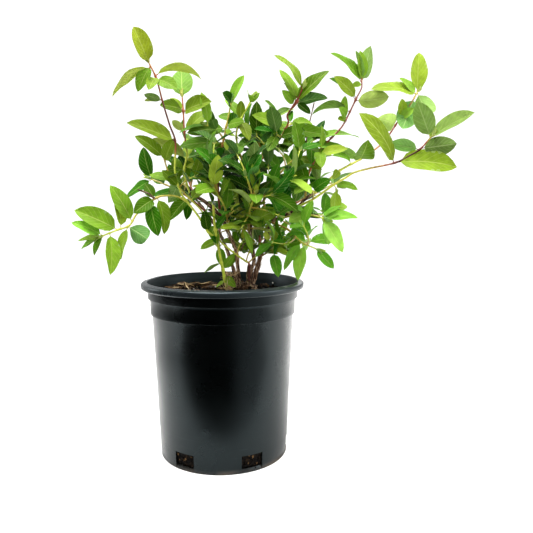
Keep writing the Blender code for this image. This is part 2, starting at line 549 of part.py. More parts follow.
def main():
    clear_scene()
    parts = make_collection("Potted haskap bush")
    helpers = make_collection("Cutters and blades")
    plastic = make_material("Black nursery plastic", "2B2F2F", 0.45)
    mix = make_material("Potting mix", "211C18", 0.95)
    bark = make_material("Bark chips", "8D7450", 0.9)
    wood = make_material("Old wood", "5A4034", 0.8)
    leaf = make_material("Haskap leaf", "4F8A24", 0.55)

    make_pot(parts, helpers, plastic)
    soil = make_soil(parts, mix)
    pockets = bpy.data.collections.new("soil pockets")
    helpers.children.link(pockets)
    add_object("root_crown", crown_mesh(), parts, wood)
    crown_pocket = add_helper("crown_pocket", crown_mesh(GAP), pockets)
    for i, chip in enumerate(CHIPS, 1):
        add_object(f"bark_chip_{i}", chip_mesh(*chip), parts, bark)
        add_helper(f"chip_pocket_{i}", chip_mesh(*chip, extra=GAP), pockets)

    # Stems first, each cut off GAP clear of the piece that it grows from
    cutters = {"root_crown": crown_pocket}
    stems = {}
    every_stem = BARE_STEMS + tuple(shoot[:5] for shoot in LEAFY_SHOOTS)
    for name, parent, route, foot, tip in every_stem:
        sides_step = 2 if name in CANES else 1
        stems[name] = tube_mesh(route, foot, tip, sides_step)
        around = pockets if parent == "soil" else helpers
        cutters[name] = add_helper(f"{name}_clear", tube_mesh(route, foot, tip, sides_step, GAP), around)
    trees = {name: surface_tree(mesh) for name, mesh in stems.items()}
    trees["root_crown"] = surface_tree(crown_pocket.data)
    trees["pot"] = surface_tree(turned_mesh(pot_inner() + pot_outer(), ROUND_STEPS))
    trees["soil"] = surface_tree(soil.data)
    boolean(soil, "DIFFERENCE", pockets)

    for name, parent, _, _, _ in BARE_STEMS:
        obj = add_object(name, stems[name], parts, wood)
        boolean(obj, "DIFFERENCE", cutters[parent])

    # Leaves, shoot by shoot: each blade is joined to its stem where it misses all its neighbours
    for number, (name, parent, route, _, _, leaves) in enumerate(LEAFY_SHOOTS):
        draw = random.Random(number)
        wanted = placed_leaves(route, leaves) if leaves else paired_leaves(route, draw)
        others = [tree for other, tree in trees.items() if other != name]
        blades = bpy.data.collections.new(f"{name} blades")
        helpers.children.link(blades)
        for leaf_place in wanted:
            blade = free_place(leaf_place, others)
            if blade:
                add_helper(f"{name}_blade", blade, blades)
        obj = add_object(name, stems[name], parts, leaf)
        boolean(obj, "UNION", blades)
        if parent in cutters:
            boolean(obj, "DIFFERENCE", cutters[parent])
        trees[name] = surface_tree(evaluated_mesh(obj))


main()
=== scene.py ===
import math

import bpy
import numpy as np
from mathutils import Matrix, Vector


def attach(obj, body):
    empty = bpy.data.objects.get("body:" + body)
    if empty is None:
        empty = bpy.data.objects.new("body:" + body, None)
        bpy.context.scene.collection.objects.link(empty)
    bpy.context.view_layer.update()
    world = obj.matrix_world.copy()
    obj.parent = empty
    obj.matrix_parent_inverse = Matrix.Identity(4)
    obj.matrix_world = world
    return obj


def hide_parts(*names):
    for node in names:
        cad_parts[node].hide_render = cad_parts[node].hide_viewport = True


# Potted haskap bush: the looks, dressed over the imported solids.
# Lengths below are in mm and mm = 0.001 turns them into metres. +Z is up, -Y is the front.

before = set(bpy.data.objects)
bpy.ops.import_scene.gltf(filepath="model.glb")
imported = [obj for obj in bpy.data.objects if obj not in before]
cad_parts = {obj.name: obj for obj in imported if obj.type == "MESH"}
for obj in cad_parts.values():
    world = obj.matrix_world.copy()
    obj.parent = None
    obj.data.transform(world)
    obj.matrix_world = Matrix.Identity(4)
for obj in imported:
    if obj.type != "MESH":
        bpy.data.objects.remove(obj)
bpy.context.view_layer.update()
mm = 0.001
full = 2 * math.pi
print("frame loaded:", len(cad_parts), "nodes")


# Small tools

def linear(code):
    # sRGB hex to a linear RGBA colour
    parts = [int(code[i:i + 2], 16) / 255 for i in (0, 2, 4)]
    return [c / 12.92 if c <= 0.04045 else ((c + 0.055) / 1.055) ** 2.4 for c in parts] + [1.0]


def addNode(tree, kind, inputs=None, stops=(), **settings):
    # one node with its settings; an input takes a value, another node's output, or a node for its first
    # output; stops are the places and colours of a colour ramp, both ends first
    node = tree.nodes.new("ShaderNode" + kind)
    for name, value in settings.items():
        setattr(node, name, value)
    for name, value in (inputs or {}).items():
        if isinstance(value, bpy.types.Node):
            value = value.outputs[0]
        if isinstance(value, bpy.types.NodeSocket):
            tree.links.new(value, node.inputs[name])
        else:
            node.inputs[name].default_value = value
    for i, (place, colour) in enumerate(stops):
        stop = node.color_ramp.elements[i] if i < 2 else node.color_ramp.elements.new(place)
        stop.position, stop.color = place, linear(colour)
    return node


def newMaterial(name, roughness, specular=0.5):
    # the material, its node tree and its shader
    material = bpy.data.materials.new(name)
    material.use_nodes = True
    tree = material.node_tree
    shader = tree.nodes["Principled BSDF"]
    shader.inputs["Roughness"].default_value = roughness
    shader.inputs["Specular IOR Level"].default_value = specular
    return material, tree, shader


def unit(vectors):
    # each vector over its length
    return vectors / np.linalg.norm(vectors, axis=-1, keepdims=True)


def bearing(compass, rise):
    # unit vectors from compass bearings about +Z and rises above the level, in degrees
    turn, lift = np.radians(compass), np.radians(rise)
    return np.stack([np.cos(turn) * np.cos(lift), np.sin(turn) * np.cos(lift), np.sin(lift)], axis=-1)


def onCircle(radius, turns, height):
    # points (r cos a, r sin a, z)
    return np.stack(np.broadcast_arrays(radius * np.cos(turns), radius * np.sin(turns), height), axis=-1)


noiseSet = {"waves": 7, "gain": 1.9, "fade": 0.55}


def lumps(points, size, seed, octaves=3):
    # smooth noise in about -1..1: the mean of sines along 7 random directions, taken again at half the size
    # and little over half the strength for each octave
    draw = np.random.default_rng(seed)
    total = np.zeros(points.shape[:-1])
    strengths = noiseSet["fade"] ** np.arange(octaves)
    for octave, strength in enumerate(strengths):
        directions = unit(draw.normal(size=(noiseSet["waves"], 3))) * (full / size * 2 ** octave)
        phases = draw.uniform(0, full, noiseSet["waves"])
        total += strength * np.sin(points @ directions.T + phases).mean(axis=-1) * noiseSet["gain"]
    return total / strengths.sum()


class Shape:
    # gathers points and faces of several surfaces, then makes them one mesh
    def __init__(self):
        self.points, self.faces, self.slots = [], [], []
        self.maps, self.marks, self.count = [], [], 0

    def add(self, points, faces, slot=0, uv=None, mark=None):
        # faces is an array of quads; a triangle repeats its last corner. mark is (tone, ripeness) a point
        points = points.reshape(-1, 3)
        self.points.append(points)
        self.faces.append(faces + self.count)
        self.slots.append(np.full(len(faces), slot) if np.isscalar(slot) else slot)
        self.maps.append(np.zeros((len(points), 2)) if uv is None else uv.reshape(-1, 2))
        self.marks.append(np.zeros((len(points), 2)) if mark is None else mark.reshape(-1, 2))
        self.count += len(points)

    def piece(self, name, materials, replaces=(), sharp=50):
        # everything gathered becomes one mesh in metres; edges past sharp degrees stay crisp
        points = np.concatenate(self.points) * mm
        faces = np.concatenate(self.faces)
        rows = [tuple(f) if f[3] != f[2] else tuple(f[:3]) for f in faces.tolist()]
        mesh = bpy.data.meshes.new(name)
        mesh.from_pydata(points.tolist(), [], rows)
        mesh.polygons.foreach_set("material_index", np.concatenate(self.slots).astype(np.int32))
        corners = np.empty(len(mesh.loops), np.int32)
        mesh.loops.foreach_get("vertex_index", corners)
        layer = mesh.uv_layers.new(name="growth")
        layer.data.foreach_set("uv", np.concatenate(self.maps)[corners].astype(np.float32).ravel())
        marks = np.concatenate(self.marks).astype(np.float32)
        for column, title in enumerate(("tone", "ripeness")):
            values = mesh.attributes.new(title, "FLOAT", "POINT").data
            values.foreach_set("value", marks[:, column].copy())
        for material in materials:
            mesh.materials.append(material)
        mesh.shade_smooth()
        mesh.set_sharp_from_angle(angle=math.radians(sharp))
        obj = bpy.data.objects.new(name, mesh)
        bpy.context.scene.collection.objects.link(obj)
        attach(obj, "root")
        if replaces:
            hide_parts(*replaces)


def gridFaces(rows, columns, closed=False):
    # quads of a grid of points, row by row; closed joins the last column to the first
    row, column = np.arange(rows - 1)[:, None], np.arange(columns if closed else columns - 1)
    start, after = row * columns + column, row * columns + (column + 1) % columns
    return np.stack([start, after, after + columns, start + columns], axis=-1).reshape(-1, 4)


def fanFaces(ring, centre, flip=False):
    # triangles from a centre point to a closed ring of point numbers
    after = np.roll(ring, -1)
    middle = np.full(len(ring), centre)
    return np.stack([after, ring, middle, middle] if flip else [ring, after, middle, middle], axis=-1)


def shellFaces(rows, columns, flip=False):
    # a stack of closed rings with a fan at each end; the centres of the fans are the next two points
    grid, ring, count = gridFaces(rows, columns, closed=True), np.arange(columns), rows * columns
    return np.concatenate([grid[:, ::-1] if flip else grid, fanFaces(ring, count, not flip),
                           fanFaces(ring + count - columns, count + 1, flip)])


def copies(faces, number, size):
    # the faces of one form repeated for forms of so many points each
    return (faces[None] + (np.arange(number) * size)[:, None, None]).reshape(-1, 4)


# Camera, floor and light

cameraSet = {
    "place": (0.0, -0.5756, 0.2489),
    "yaw": 4.4,  # degrees right of +Y
    "pitch": -5.85,
    "focal": 38.4, "sensor": 36.0, "near": 0.01,
}
lightSet = {
    "skyStrength": 0.80, "softStrength": 0.52,  # as the gloss sees it, and as it lights the rest
    "dark": 0.0,  # brightness of the unlit side of the room, front left of the pot
    "darkWay": (-0.66, -0.69, -0.30), "darkEdge": 0.26, "darkCore": 0.68,  # cosines from that direction
    "floor": (-0.42, -0.14, 1.3, 1.5),  # west, south, east and north edges of the sheet it stands on
    "floorDrop": 0.0002, "floorColour": "F7F6F4",
    "lamps": [  # name, place, aim, width, height, watts, whether gloss shows it
        ("top softbox", (-0.10, -0.10, 1.55), (0.0, 0.0, 0.25), 1.2, 1.0, 52.0, True),
        ("left softbox", (-1.45, 0.45, 0.60), (0.0, 0.0, 0.2), 0.8, 1.1, 6.0, True),
        ("right softbox", (1.45, -0.45, 0.60), (0.0, 0.0, 0.2), 1.1, 1.2, 17.0, True),
        ("back softbox", (0.35, 1.3, 1.0), (0.0, 0.0, 0.3), 1.2, 0.8, 9.0, True),
        ("front fill", (-0.3, -1.6, 0.5), (0.0, 0.0, 0.2), 0.9, 0.7, 14.0, False),
    ],
}


def setStage():
    # camera, world, lamps and the white sheet that the pot stands on
    scene = bpy.context.scene
    camera = bpy.data.objects.new("camera", bpy.data.cameras.new("camera"))
    scene.collection.objects.link(camera)
    camera.data.sensor_width = cameraSet["sensor"]
    camera.data.lens = cameraSet["focal"]
    camera.data.clip_start = cameraSet["near"]
    camera.location = cameraSet["place"]
    camera.rotation_euler = (math.radians(90 + cameraSet["pitch"]), 0, math.radians(-cameraSet["yaw"]))
    scene.camera = camera

    world = bpy.data.worlds.new("white studio")
    scene.world = world
    world.use_nodes = True
    tree = world.node_tree
    tree.nodes.clear()
    paths = addNode(tree, "LightPath")
    seen = addNode(tree, "Background", {"Color": (1, 1, 1, 1), "Strength": 1.0})
    way = addNode(tree, "TexCoord").outputs["Generated"]
    dark = Vector(lightSet["darkWay"]).normalized()
    front = addNode(tree, "VectorMath", {0: way, 1: dark}, operation="DOT_PRODUCT").outputs["Value"]
    fade = addNode(tree, "MapRange", {0: front, 1: lightSet["darkEdge"], 2: lightSet["darkCore"],
                                      3: lightSet["skyStrength"], 4: lightSet["dark"]},
                   interpolation_type="SMOOTHSTEP")
    # soft light comes from all round; only the gloss of the pot finds the dark side of the room
    side = addNode(tree, "Mix", {0: paths.outputs["Is Glossy Ray"], 2: lightSet["softStrength"], 3: fade})
    lit = addNode(tree, "Background", {"Color": (1, 1, 1, 1), "Strength": side})
    both = addNode(tree, "MixShader", {0: paths.outputs["Is Camera Ray"], 1: lit, 2: seen})
    addNode(tree, "OutputWorld", {"Surface": both})

    for name, place, aim, width, height, watts, shows in lightSet["lamps"]:
        lamp = bpy.data.lights.new(name, "AREA")
        lamp.shape = "RECTANGLE"
        lamp.size, lamp.size_y, lamp.energy = width, height, watts
        holder = bpy.data.objects.new(name, lamp)
        scene.collection.objects.link(holder)
        holder.location = place
        holder.rotation_euler = (Vector(aim) - Vector(place)).to_track_quat("-Z", "Y").to_euler()
        holder.visible_glossy = shows

    material, tree, shader = newMaterial("painted studio floor", 0.7, 0.2)
    shader.inputs["Base Color"].default_value = linear(lightSet["floorColour"])
    west, south, east, north = lightSet["floor"]
    corners = [(x, y, -lightSet["floorDrop"])
               for x, y in ((west, south), (east, south), (east, north), (west, north))]
    mesh = bpy.data.meshes.new("floor")
    mesh.from_pydata(corners, [], [(0, 1, 2, 3)])
    mesh.materials.append(material)
    floor = bpy.data.objects.new("floor", mesh)
    scene.collection.objects.link(floor)
    scene.view_settings.view_transform = "Standard"
    scene.view_settings.look = "Medium High Contrast"


setStage()
print("camera, floor and light set")


# Materials. Sizes of their patterns are in mm; a pattern's scale is how many fit in a metre.

def perMetre(size):
    # 1 over the size in metres
    return 1 / (size * mm)


def cover(tree, shader, colour, height, strength, depth):
    # gives the shader its colour and its relief, depth mm deep, and gives the relief back
    tree.links.new(colour, shader.inputs["Base Color"])
    bump = addNode(tree, "Bump", {"Height": height, "Strength": strength, "Distance": depth * mm})
    tree.links.new(bump.outputs[0], shader.inputs["Normal"])
    return bump


leafLook = {
    "patch": 6.25, "net": 1.1111,  # mottle, and the meshes between the smallest veins
    "midrib": (0.012, 0.035), "vein": (0.40, 0.49),  # where the veins' edges start and end
    "pairs": 7.5, "forward": 0.62,  # side veins along a blade, and how far they run forward
    "paler": 0.42,  # how much of the vein's own colour shows
    "through": 0.42,  # share of the light that crosses the blade
    "depth": 0.5,
}
stemLook = {"streak": 2.381, "depth": 0.3}
barkLook = {"roughness": 0.65, "warp": 0.5, "depth": 0.6}
mixLook = {"clod": 3.846, "crumb": 1.923, "speck": (0.93, 0.97), "depth": 1.5}
potLook = {
    "haze": 38.46, "grit": 1.1111, "rub": (33.333, 33.333, 2.381),  # rub marks lie round the wall
    "dust": (0.5, 5.0),  # heights between which the dust thins out
    # heights where the lip turns to its worn grey with painted highlight
    "lip": (168.5, 171.0),
    # the grey inside: distance from the axis less lean times the height, and the height
    "lean": 0.11, "inside": (56.6, 56.9), "above": (158.0, 160.0),
    "depth": 0.4,
}


def leafMaterial(name, colours, light, gloss):
    # Living leaf, grown: a waxy cuticle over green tissue, so soft highlights and light shining through.
    s = leafLook
    material, tree, shader = newMaterial(name, gloss, 0.14)
    place = addNode(tree, "UVMap", uv_map="growth")
    across, along = addNode(tree, "SeparateXYZ", {0: place}).outputs[:2]
    tone = addNode(tree, "Attribute", attribute_name="tone").outputs["Fac"]
    # tone runs from dark to pale: the leaf's age, with painted shade and painted light on side twigs and some
    # shoots
    old, grown, young, fresh = colours
    base = addNode(tree, "ValToRGB", {0: tone}, [(0.0, old), (1.0, fresh), (1 / 3, grown), (2 / 3, young)])
    # ripeness turns the green from fresh and bluish, 0, to yellowish, 1
    ripe = addNode(tree, "Attribute", attribute_name="ripeness").outputs["Fac"]
    lean = addNode(tree, "MapRange", {0: ripe, 1: 0.0, 2: 1.0, 3: 0.533, 4: 0.450})
    green = addNode(tree, "HueSaturation", {"Hue": lean, "Color": base})

    # how far from the midrib, 0 to 0.5
    off = addNode(tree, "Math", {0: across, 1: 0.5}, operation="SUBTRACT")
    side = addNode(tree, "Math", {0: off}, operation="ABSOLUTE")
    first, last = s["midrib"]
    midrib = addNode(tree, "MapRange", {0: side, 1: first, 2: last, 3: 1.0, 4: 0.0})
    # side veins run out and forward from the midrib, about 7 pairs on a leaf
    slant = addNode(tree, "Math", {0: side, 1: s["forward"]}, operation="MULTIPLY")
    ahead = addNode(tree, "Math", {0: along, 1: slant}, operation="SUBTRACT")
    count = addNode(tree, "Math", {0: ahead, 1: s["pairs"]}, operation="MULTIPLY")
    part = addNode(tree, "Math", {0: count}, operation="FRACT")
    fromMiddle = addNode(tree, "Math", {0: part, 1: 0.5}, operation="SUBTRACT")
    swell = addNode(tree, "Math", {0: fromMiddle}, operation="ABSOLUTE")
    first, last = s["vein"]
    vein = addNode(tree, "MapRange", {0: swell, 1: first, 2: last, 3: 0.0, 4: 0.55})
    veins = addNode(tree, "Math", {0: midrib, 1: vein}, operation="MAXIMUM")

    # mottle, and the net of small veins, drawn coarser than the real one so that it shows
    spot = addNode(tree, "TexCoord").outputs["Object"]
    patches = addNode(tree, "TexNoise", {"Vector": spot, "Scale": perMetre(s["patch"]), "Detail": 3.0})
    shift = addNode(tree, "MapRange", {0: patches, 1: 0.3, 2: 0.7, 3: 0.86, 4: 1.12})
    toned = addNode(tree, "Mix", {0: 1.0, 6: green, 7: shift}, data_type="RGBA", blend_type="MULTIPLY")
    pale = addNode(tree, "Math", {0: veins, 1: s["paler"]}, operation="MULTIPLY")
    body = addNode(tree, "Mix", {0: pale, 6: toned.outputs[2], 7: linear(light)}, data_type="RGBA")
    net = addNode(tree, "TexVoronoi", {"Vector": spot, "Scale": perMetre(s["net"])},
                  feature="DISTANCE_TO_EDGE")
    quilt = addNode(tree, "Math", {0: net, 1: swell}, operation="SUBTRACT")
    sunk = addNode(tree, "Math", {0: quilt, 1: midrib}, operation="SUBTRACT")
    relief = cover(tree, shader, body.outputs[2], sunk, 0.35, s["depth"])

    # light that crosses the blade comes out a warmer, brighter green
    through = addNode(tree, "HueSaturation",
                      {"Hue": 0.49, "Saturation": 1.05, "Value": 1.25, "Color": body.outputs[2]})
    glow = addNode(tree, "BsdfTranslucent", {"Color": through, "Normal": relief})
    mixed = addNode(tree, "MixShader", {0: s["through"], 1: shader, 2: glow})
    tree.links.new(mixed.outputs[0], tree.nodes["Material Output"].inputs["Surface"])
    return material


def stemMaterial():
    # Young honeysuckle shoot, grown: smooth skin, yellow-green in shade, red-brown where the sun ripens it.
    material, tree, shader = newMaterial("young shoot skin", 0.42)
    ripe = addNode(tree, "Attribute", attribute_name="ripeness").outputs["Fac"]
    skin = addNode(tree, "ValToRGB", {0: ripe}, [
        (0.0, "B5C84C"), (1.0, "4A241C"), (0.35, "A0903E"), (0.55, "935634"), (0.78, "7A3E2C")])
    spot = addNode(tree, "TexCoord").outputs["Object"]
    fine = perMetre(stemLook["streak"])
    streaks = addNode(tree, "TexNoise", {"Vector": spot, "Scale": fine, "Detail": 3.0})
    shift = addNode(tree, "MapRange", {0: streaks, 1: 0.3, 2: 0.7, 3: 0.8, 4: 1.18})
    body = addNode(tree, "Mix", {0: 1.0, 6: skin, 7: shift}, data_type="RGBA", blend_type="MULTIPLY")
    cover(tree, shader, body.outputs[2], streaks, 0.2, stemLook["depth"])
    return material


def barkMaterial(name, dark, mid, pale, strands, length):
    # Shrub bark, grown and weathered: grey-brown strips that split along the stem and peel, dull all over.
    # So many strands lie round the stem, each of them length mm long.
    material, tree, shader = newMaterial(name, 0.85, 0.3)
    place = addNode(tree, "UVMap", uv_map="growth")
    level = addNode(tree, "Mapping", {"Vector": place, "Scale": (strands, 1 / length, 1.0)})
    strips = addNode(tree, "TexNoise", {"Vector": level, "Scale": 1.0, "Detail": 5.0,
                                        "Roughness": barkLook["roughness"], "Distortion": barkLook["warp"]})
    body = addNode(tree, "ValToRGB", {0: strips}, [(0.38, dark), (0.66, pale), (0.5, mid)])
    cover(tree, shader, body.outputs[0], strips, 0.8, barkLook["depth"])
    return material


def mixMaterial():
    # Potting mix, milled peat and composted bark: damp crumbs, near black, with brown and straw specks.
    material, tree, shader = newMaterial("peat and bark potting mix", 0.92, 0.15)
    spot = addNode(tree, "TexCoord").outputs["Object"]
    clods = addNode(tree, "TexNoise", {"Vector": spot, "Scale": perMetre(mixLook["clod"]), "Detail": 6.0})
    crumbs = addNode(tree, "ValToRGB", {0: clods}, [(0.35, "040303"), (0.72, "281E15"), (0.55, "0E0A07")])
    grains = addNode(tree, "TexVoronoi", {"Vector": spot, "Scale": perMetre(mixLook["crumb"])})
    grain = addNode(tree, "SeparateColor", {0: grains.outputs["Color"]})
    first, last = mixLook["speck"]
    rare = addNode(tree, "MapRange", {0: grain, 1: first, 2: last, 3: 0.0, 4: 0.6})
    body = addNode(tree, "Mix", {0: rare, 6: crumbs, 7: linear("6B5439")}, data_type="RGBA")
    cover(tree, shader, body.outputs[2], clods, 1.0, mixLook["depth"])
    return material


def potMaterial():
    # High-density polyethylene, blow moulded in black: a satin skin that scuffs grey, dusty at the foot; the
    # lip's lighter grey is partly wear and partly painted highlight.
    s = potLook
    material, tree, shader = newMaterial("blow-moulded black polyethylene", 0.36, 0.38)
    spot = addNode(tree, "TexCoord").outputs["Object"]
    x, y, z = addNode(tree, "SeparateXYZ", {0: spot}).outputs[:3]
    dusty, clean, lipLow, lipHigh, near, far, low, high = [
        limit * mm for limit in s["dust"] + s["lip"] + s["inside"] + s["above"]]
    haze = addNode(tree, "TexNoise", {"Vector": spot, "Scale": perMetre(s["haze"]), "Detail": 5.0})
    # the grit of the mould's face is finer; it is drawn as coarse as it needs to show
    grit = addNode(tree, "TexNoise", {"Vector": spot, "Scale": perMetre(s["grit"]), "Detail": 2.0})
    level = addNode(tree, "Mapping", {"Vector": spot, "Scale": [perMetre(size) for size in s["rub"]]})
    rubs = addNode(tree, "TexNoise", {"Vector": level, "Scale": 1.0, "Detail": 4.0})
    rub = addNode(tree, "MapRange", {0: rubs, 1: 0.64, 2: 0.74, 3: 0.0, 4: 0.35})
    # dust lies on the lowest 5 mm of the wall, in patches
    foot = addNode(tree, "MapRange", {0: z, 1: dusty, 2: clean, 3: 1.0, 4: 0.0})
    patch = addNode(tree, "MapRange", {0: haze, 1: 0.42, 2: 0.62, 3: 0.1, 4: 0.8})
    dust = addNode(tree, "Math", {0: foot, 1: patch}, operation="MULTIPLY")
    # the lip is painted a dull blue-grey: partly rubbed by hands and other pots, partly a painted highlight
    # where the rolled lip catches the light
    lip = addNode(tree, "MapRange", {0: z, 1: lipLow, 2: lipHigh, 3: 0.0, 4: 0.6})
    # the wall inside, above the mix, is greyed in streaks and made rougher
    flat = addNode(tree, "CombineXYZ", {0: x, 1: y, 2: 0.0})
    reach = addNode(tree, "VectorMath", {0: flat}, operation="LENGTH").outputs["Value"]
    cone = addNode(tree, "Math", {0: z, 1: -s["lean"], 2: reach}, operation="MULTIPLY_ADD")
    within = addNode(tree, "MapRange", {0: cone, 1: near, 2: far, 3: 1.0, 4: 0.0})
    above = addNode(tree, "MapRange", {0: z, 1: low, 2: high, 3: 0.0, 4: 1.0})
    inner = addNode(tree, "Math", {0: within, 1: above}, operation="MULTIPLY")
    streak = addNode(tree, "MapRange", {0: rubs, 1: 0.35, 2: 0.65, 3: 0.35, 4: 1.0})
    innerGrey = addNode(tree, "Math", {0: inner, 1: streak}, operation="MULTIPLY")
    # black under rub marks, the lip's wear and painted highlight, the grey inside above the mix and the dust
    body = linear("020303")
    for share, colour in ((rub, "1A2022"), (lip, "272C2E"), (innerGrey, "2A3133"), (dust, "5F574F")):
        body = addNode(tree, "Mix", {0: share, 6: body, 7: linear(colour)}, data_type="RGBA").outputs[2]
    shader.inputs["Specular Tint"].default_value = linear("CFE4EA")
    satin = addNode(tree, "MapRange", {0: haze, 1: 0.3, 2: 0.7, 3: 0.24, 4: 0.36})
    roughening = addNode(tree, "Math", {0: innerGrey, 1: 0.3, 2: dust}, operation="MULTIPLY_ADD")
    dull = addNode(tree, "Math", {0: satin, 1: roughening}, operation="ADD")
    tree.links.new(dull.outputs[0], shader.inputs["Roughness"])
    skin = addNode(tree, "Math", {0: grit, 1: rubs}, operation="ADD")
    cover(tree, shader, body, skin, 0.12, s["depth"])
    return material


leafUpper = leafMaterial("haskap leaf upper face", ("0C2E02", "44760F", "88AA3A", "AFC75E"), "BFC878", 0.50)
leafUnder = leafMaterial("haskap leaf underside", ("2E5222", "6E9450", "98B568", "B6CC80"), "CAD9A0", 0.60)
youngStem = stemMaterial()
caneBark = barkMaterial("peeling cane bark", "1C120D", "5A4232", "A8947C", 8.0, 5.0)
curledBark = barkMaterial("curled bark strip", "4A3526", "8A6C50", "D2C2A8", 5.0, 8.3333)
chipBark = barkMaterial("split bark chip", "150E09", "382818", "7A5E40", 2.0, 7.1429)
dryStraw = barkMaterial("dry straw and grass fibre", "7A6144", "B0956C", "D8C8A2", 2.0, 10.0)
paleGrain = newMaterial("expanded perlite grain", 0.8, 0.3)[0]
paleGrain.node_tree.nodes["Principled BSDF"].inputs["Base Color"].default_value = linear("DEDCD4")
pottingMix = mixMaterial()
potSkin = potMaterial()
print("materials made")
# The pot

potSet = {
    "height": 176.6, "lip": 81.9, "lipDepth": 7.0, "rimInner": 76.0, "neck": 75.7, "neckBottom": 160.4,
    "band": 73.3, "bandBottom": 144.4, "shoulder": 71.3, "shoulderHeight": 142.0, "base": 64.5,
    "wall": 1.5, "floor": 2.0, "drains": 6, "firstDrain": -66.0, "drainWidth": 21.5,
    "drainBottom": 1.0, "drainTop": 17.2,
    "slotColumns": 8, "wallColumns": 20,  # quads across a drain slot, and between two
}


def arc(centre, radius, first, last, steps):
    # points on a circle from one angle to another, as (radius, height)
    angles = np.radians(np.linspace(first, last, steps))
    return [(centre[0] + radius * math.cos(a), centre[1] + radius * math.sin(a)) for a in angles]


def potProfile():
    # the wall's section as (radius, height): up the inside, round the rolled lip, down the outside
    s = potSet
    base, neck, band, wall = s["base"], s["neck"], s["band"], s["wall"]
    neckLow, bandLow, top = s["neckBottom"], s["bandBottom"], s["height"]
    slope = (s["shoulder"] - base) / s["shoulderHeight"]
    under = top - s["lipDepth"]
    inside = [(0.0, s["floor"]), (30.0, s["floor"]), (base - 4.5, s["floor"])]
    inside += arc((base - 3.4, s["floor"] + 1.9), 1.9, -90, 0, 5)
    inside += [(base + slope * z - wall, z) for z in (s["drainTop"], 60.0, 100.0, s["shoulderHeight"] - 1.0)]
    inside += [(band - wall - 0.3, bandLow + 0.6), (band - wall, neckLow - 2.0)]
    inside += [(neck - wall - 0.3, neckLow + 0.4), (neck - wall, neckLow + 3.0)]
    inside += [(s["rimInner"] - 0.7, top - 3.0)]
    lip = arc((s["rimInner"] + 1.0, top - 1.0), 1.0, 180, 80, 5) + [(s["lip"] - 4.0, top - 0.35)]
    lip += arc((s["lip"] - 2.2, top - 3.2), 2.3, 78, 0, 7)
    lip += arc((s["lip"] - 1.6, under + 1.6), 1.6, 0, -90, 6)
    outside = arc((neck + 1.2, under - 1.2), 1.2, 90, 180, 5)
    outside += arc((neck - 0.4, neckLow + 0.4), 0.4, 0, -90, 4)
    outside += arc((band + 0.3, neckLow - 0.4), 0.3, 90, 180, 3) + [(band - 0.15, bandLow + 3.0)]
    outside += arc((band - 0.55, bandLow + 0.4), 0.4, 0, -90, 4)
    outside += arc((s["shoulder"] + 0.45, bandLow - 0.4), 0.3, 90, 180, 3)
    outside += [(base + slope * z, z) for z in (110.0, 80.0, 50.0, s["drainTop"], s["drainBottom"])]
    outside += arc((base - 0.7, 0.7), 0.7, 0, -90, 4) + [(base - 6.0, 0.0), (30.0, 0.0), (0.0, 0.0)]
    return inside, lip, outside


def makePot():
    # surface = profile turned about Z, (r cos a, r sin a, z), with the drain slots left open and their
    # edges bridged from the outer wall to the inner one
    inside, lip, outside = potProfile()
    profile = np.array(inside + lip + outside)[1:-1]
    slotTurn = 2 * math.degrees(math.asin(potSet["drainWidth"] / 2 / potSet["base"]))
    slot, apart = potSet["slotColumns"], 360 / potSet["drains"]
    angles = []
    for i in range(potSet["drains"]):
        first = potSet["firstDrain"] - slotTurn / 2 + i * apart
        angles += list(np.linspace(first, first + slotTurn, slot + 1)[:-1])
        angles += list(np.linspace(first + slotTurn, first + apart, potSet["wallColumns"] + 1)[:-1])
    turns = np.radians(angles)
    rows, columns = len(profile), len(turns)
    wave = slot + potSet["wallColumns"]
    # the slot's upper and lower rows on each side of the wall
    fromTop = np.abs(profile[:, 1] - potSet["drainTop"])
    half = len(inside)
    inTop, outTop = int(np.argmin(fromTop[:half])), int(half + np.argmin(fromTop[half:]))
    inLow, outLow = inTop - 1, outTop + 1
    faces = gridFaces(rows, columns, closed=True)
    cellRow, cellColumn = faces[:, 0] // columns, faces[:, 0] % columns
    hole = (cellColumn % wave < slot) & ((cellRow == inLow) | (cellRow == outTop))
    faces = [faces[~hole][:, ::-1]]
    for i in range(potSet["drains"]):
        across = (np.arange(slot + 1) + wave * i) % columns
        for a, b in ((inLow, outLow), (outTop, inTop)):
            faces.append(np.stack([b * columns + across[:-1], b * columns + across[1:],
                                   a * columns + across[1:], a * columns + across[:-1]], axis=-1))
        for c, order in ((across[0], -1), (across[-1], 1)):
            corners = np.array([row * columns + c for row in (inTop, inLow, outLow, outTop)])
            faces.append(corners[None, ::order])
    ring = np.arange(columns)
    faces += [fanFaces(ring, rows * columns), fanFaces(ring + (rows - 1) * columns, rows * columns + 1, True)]
    points = np.concatenate([onCircle(profile[:, 0:1], turns, profile[:, 1:2]).reshape(-1, 3),
                             [[0, 0, potSet["floor"]], [0, 0, 0]]])
    shape = Shape()
    shape.add(points, np.concatenate(faces))
    shape.piece("nursery_pot", [potSkin], ["pot"], sharp=38)


makePot()
print("pot made")


# Stems

def runAlong(path):
    # the distance along a path to each of its points
    return np.concatenate([[0], np.cumsum(np.linalg.norm(np.diff(path, axis=0), axis=1))])


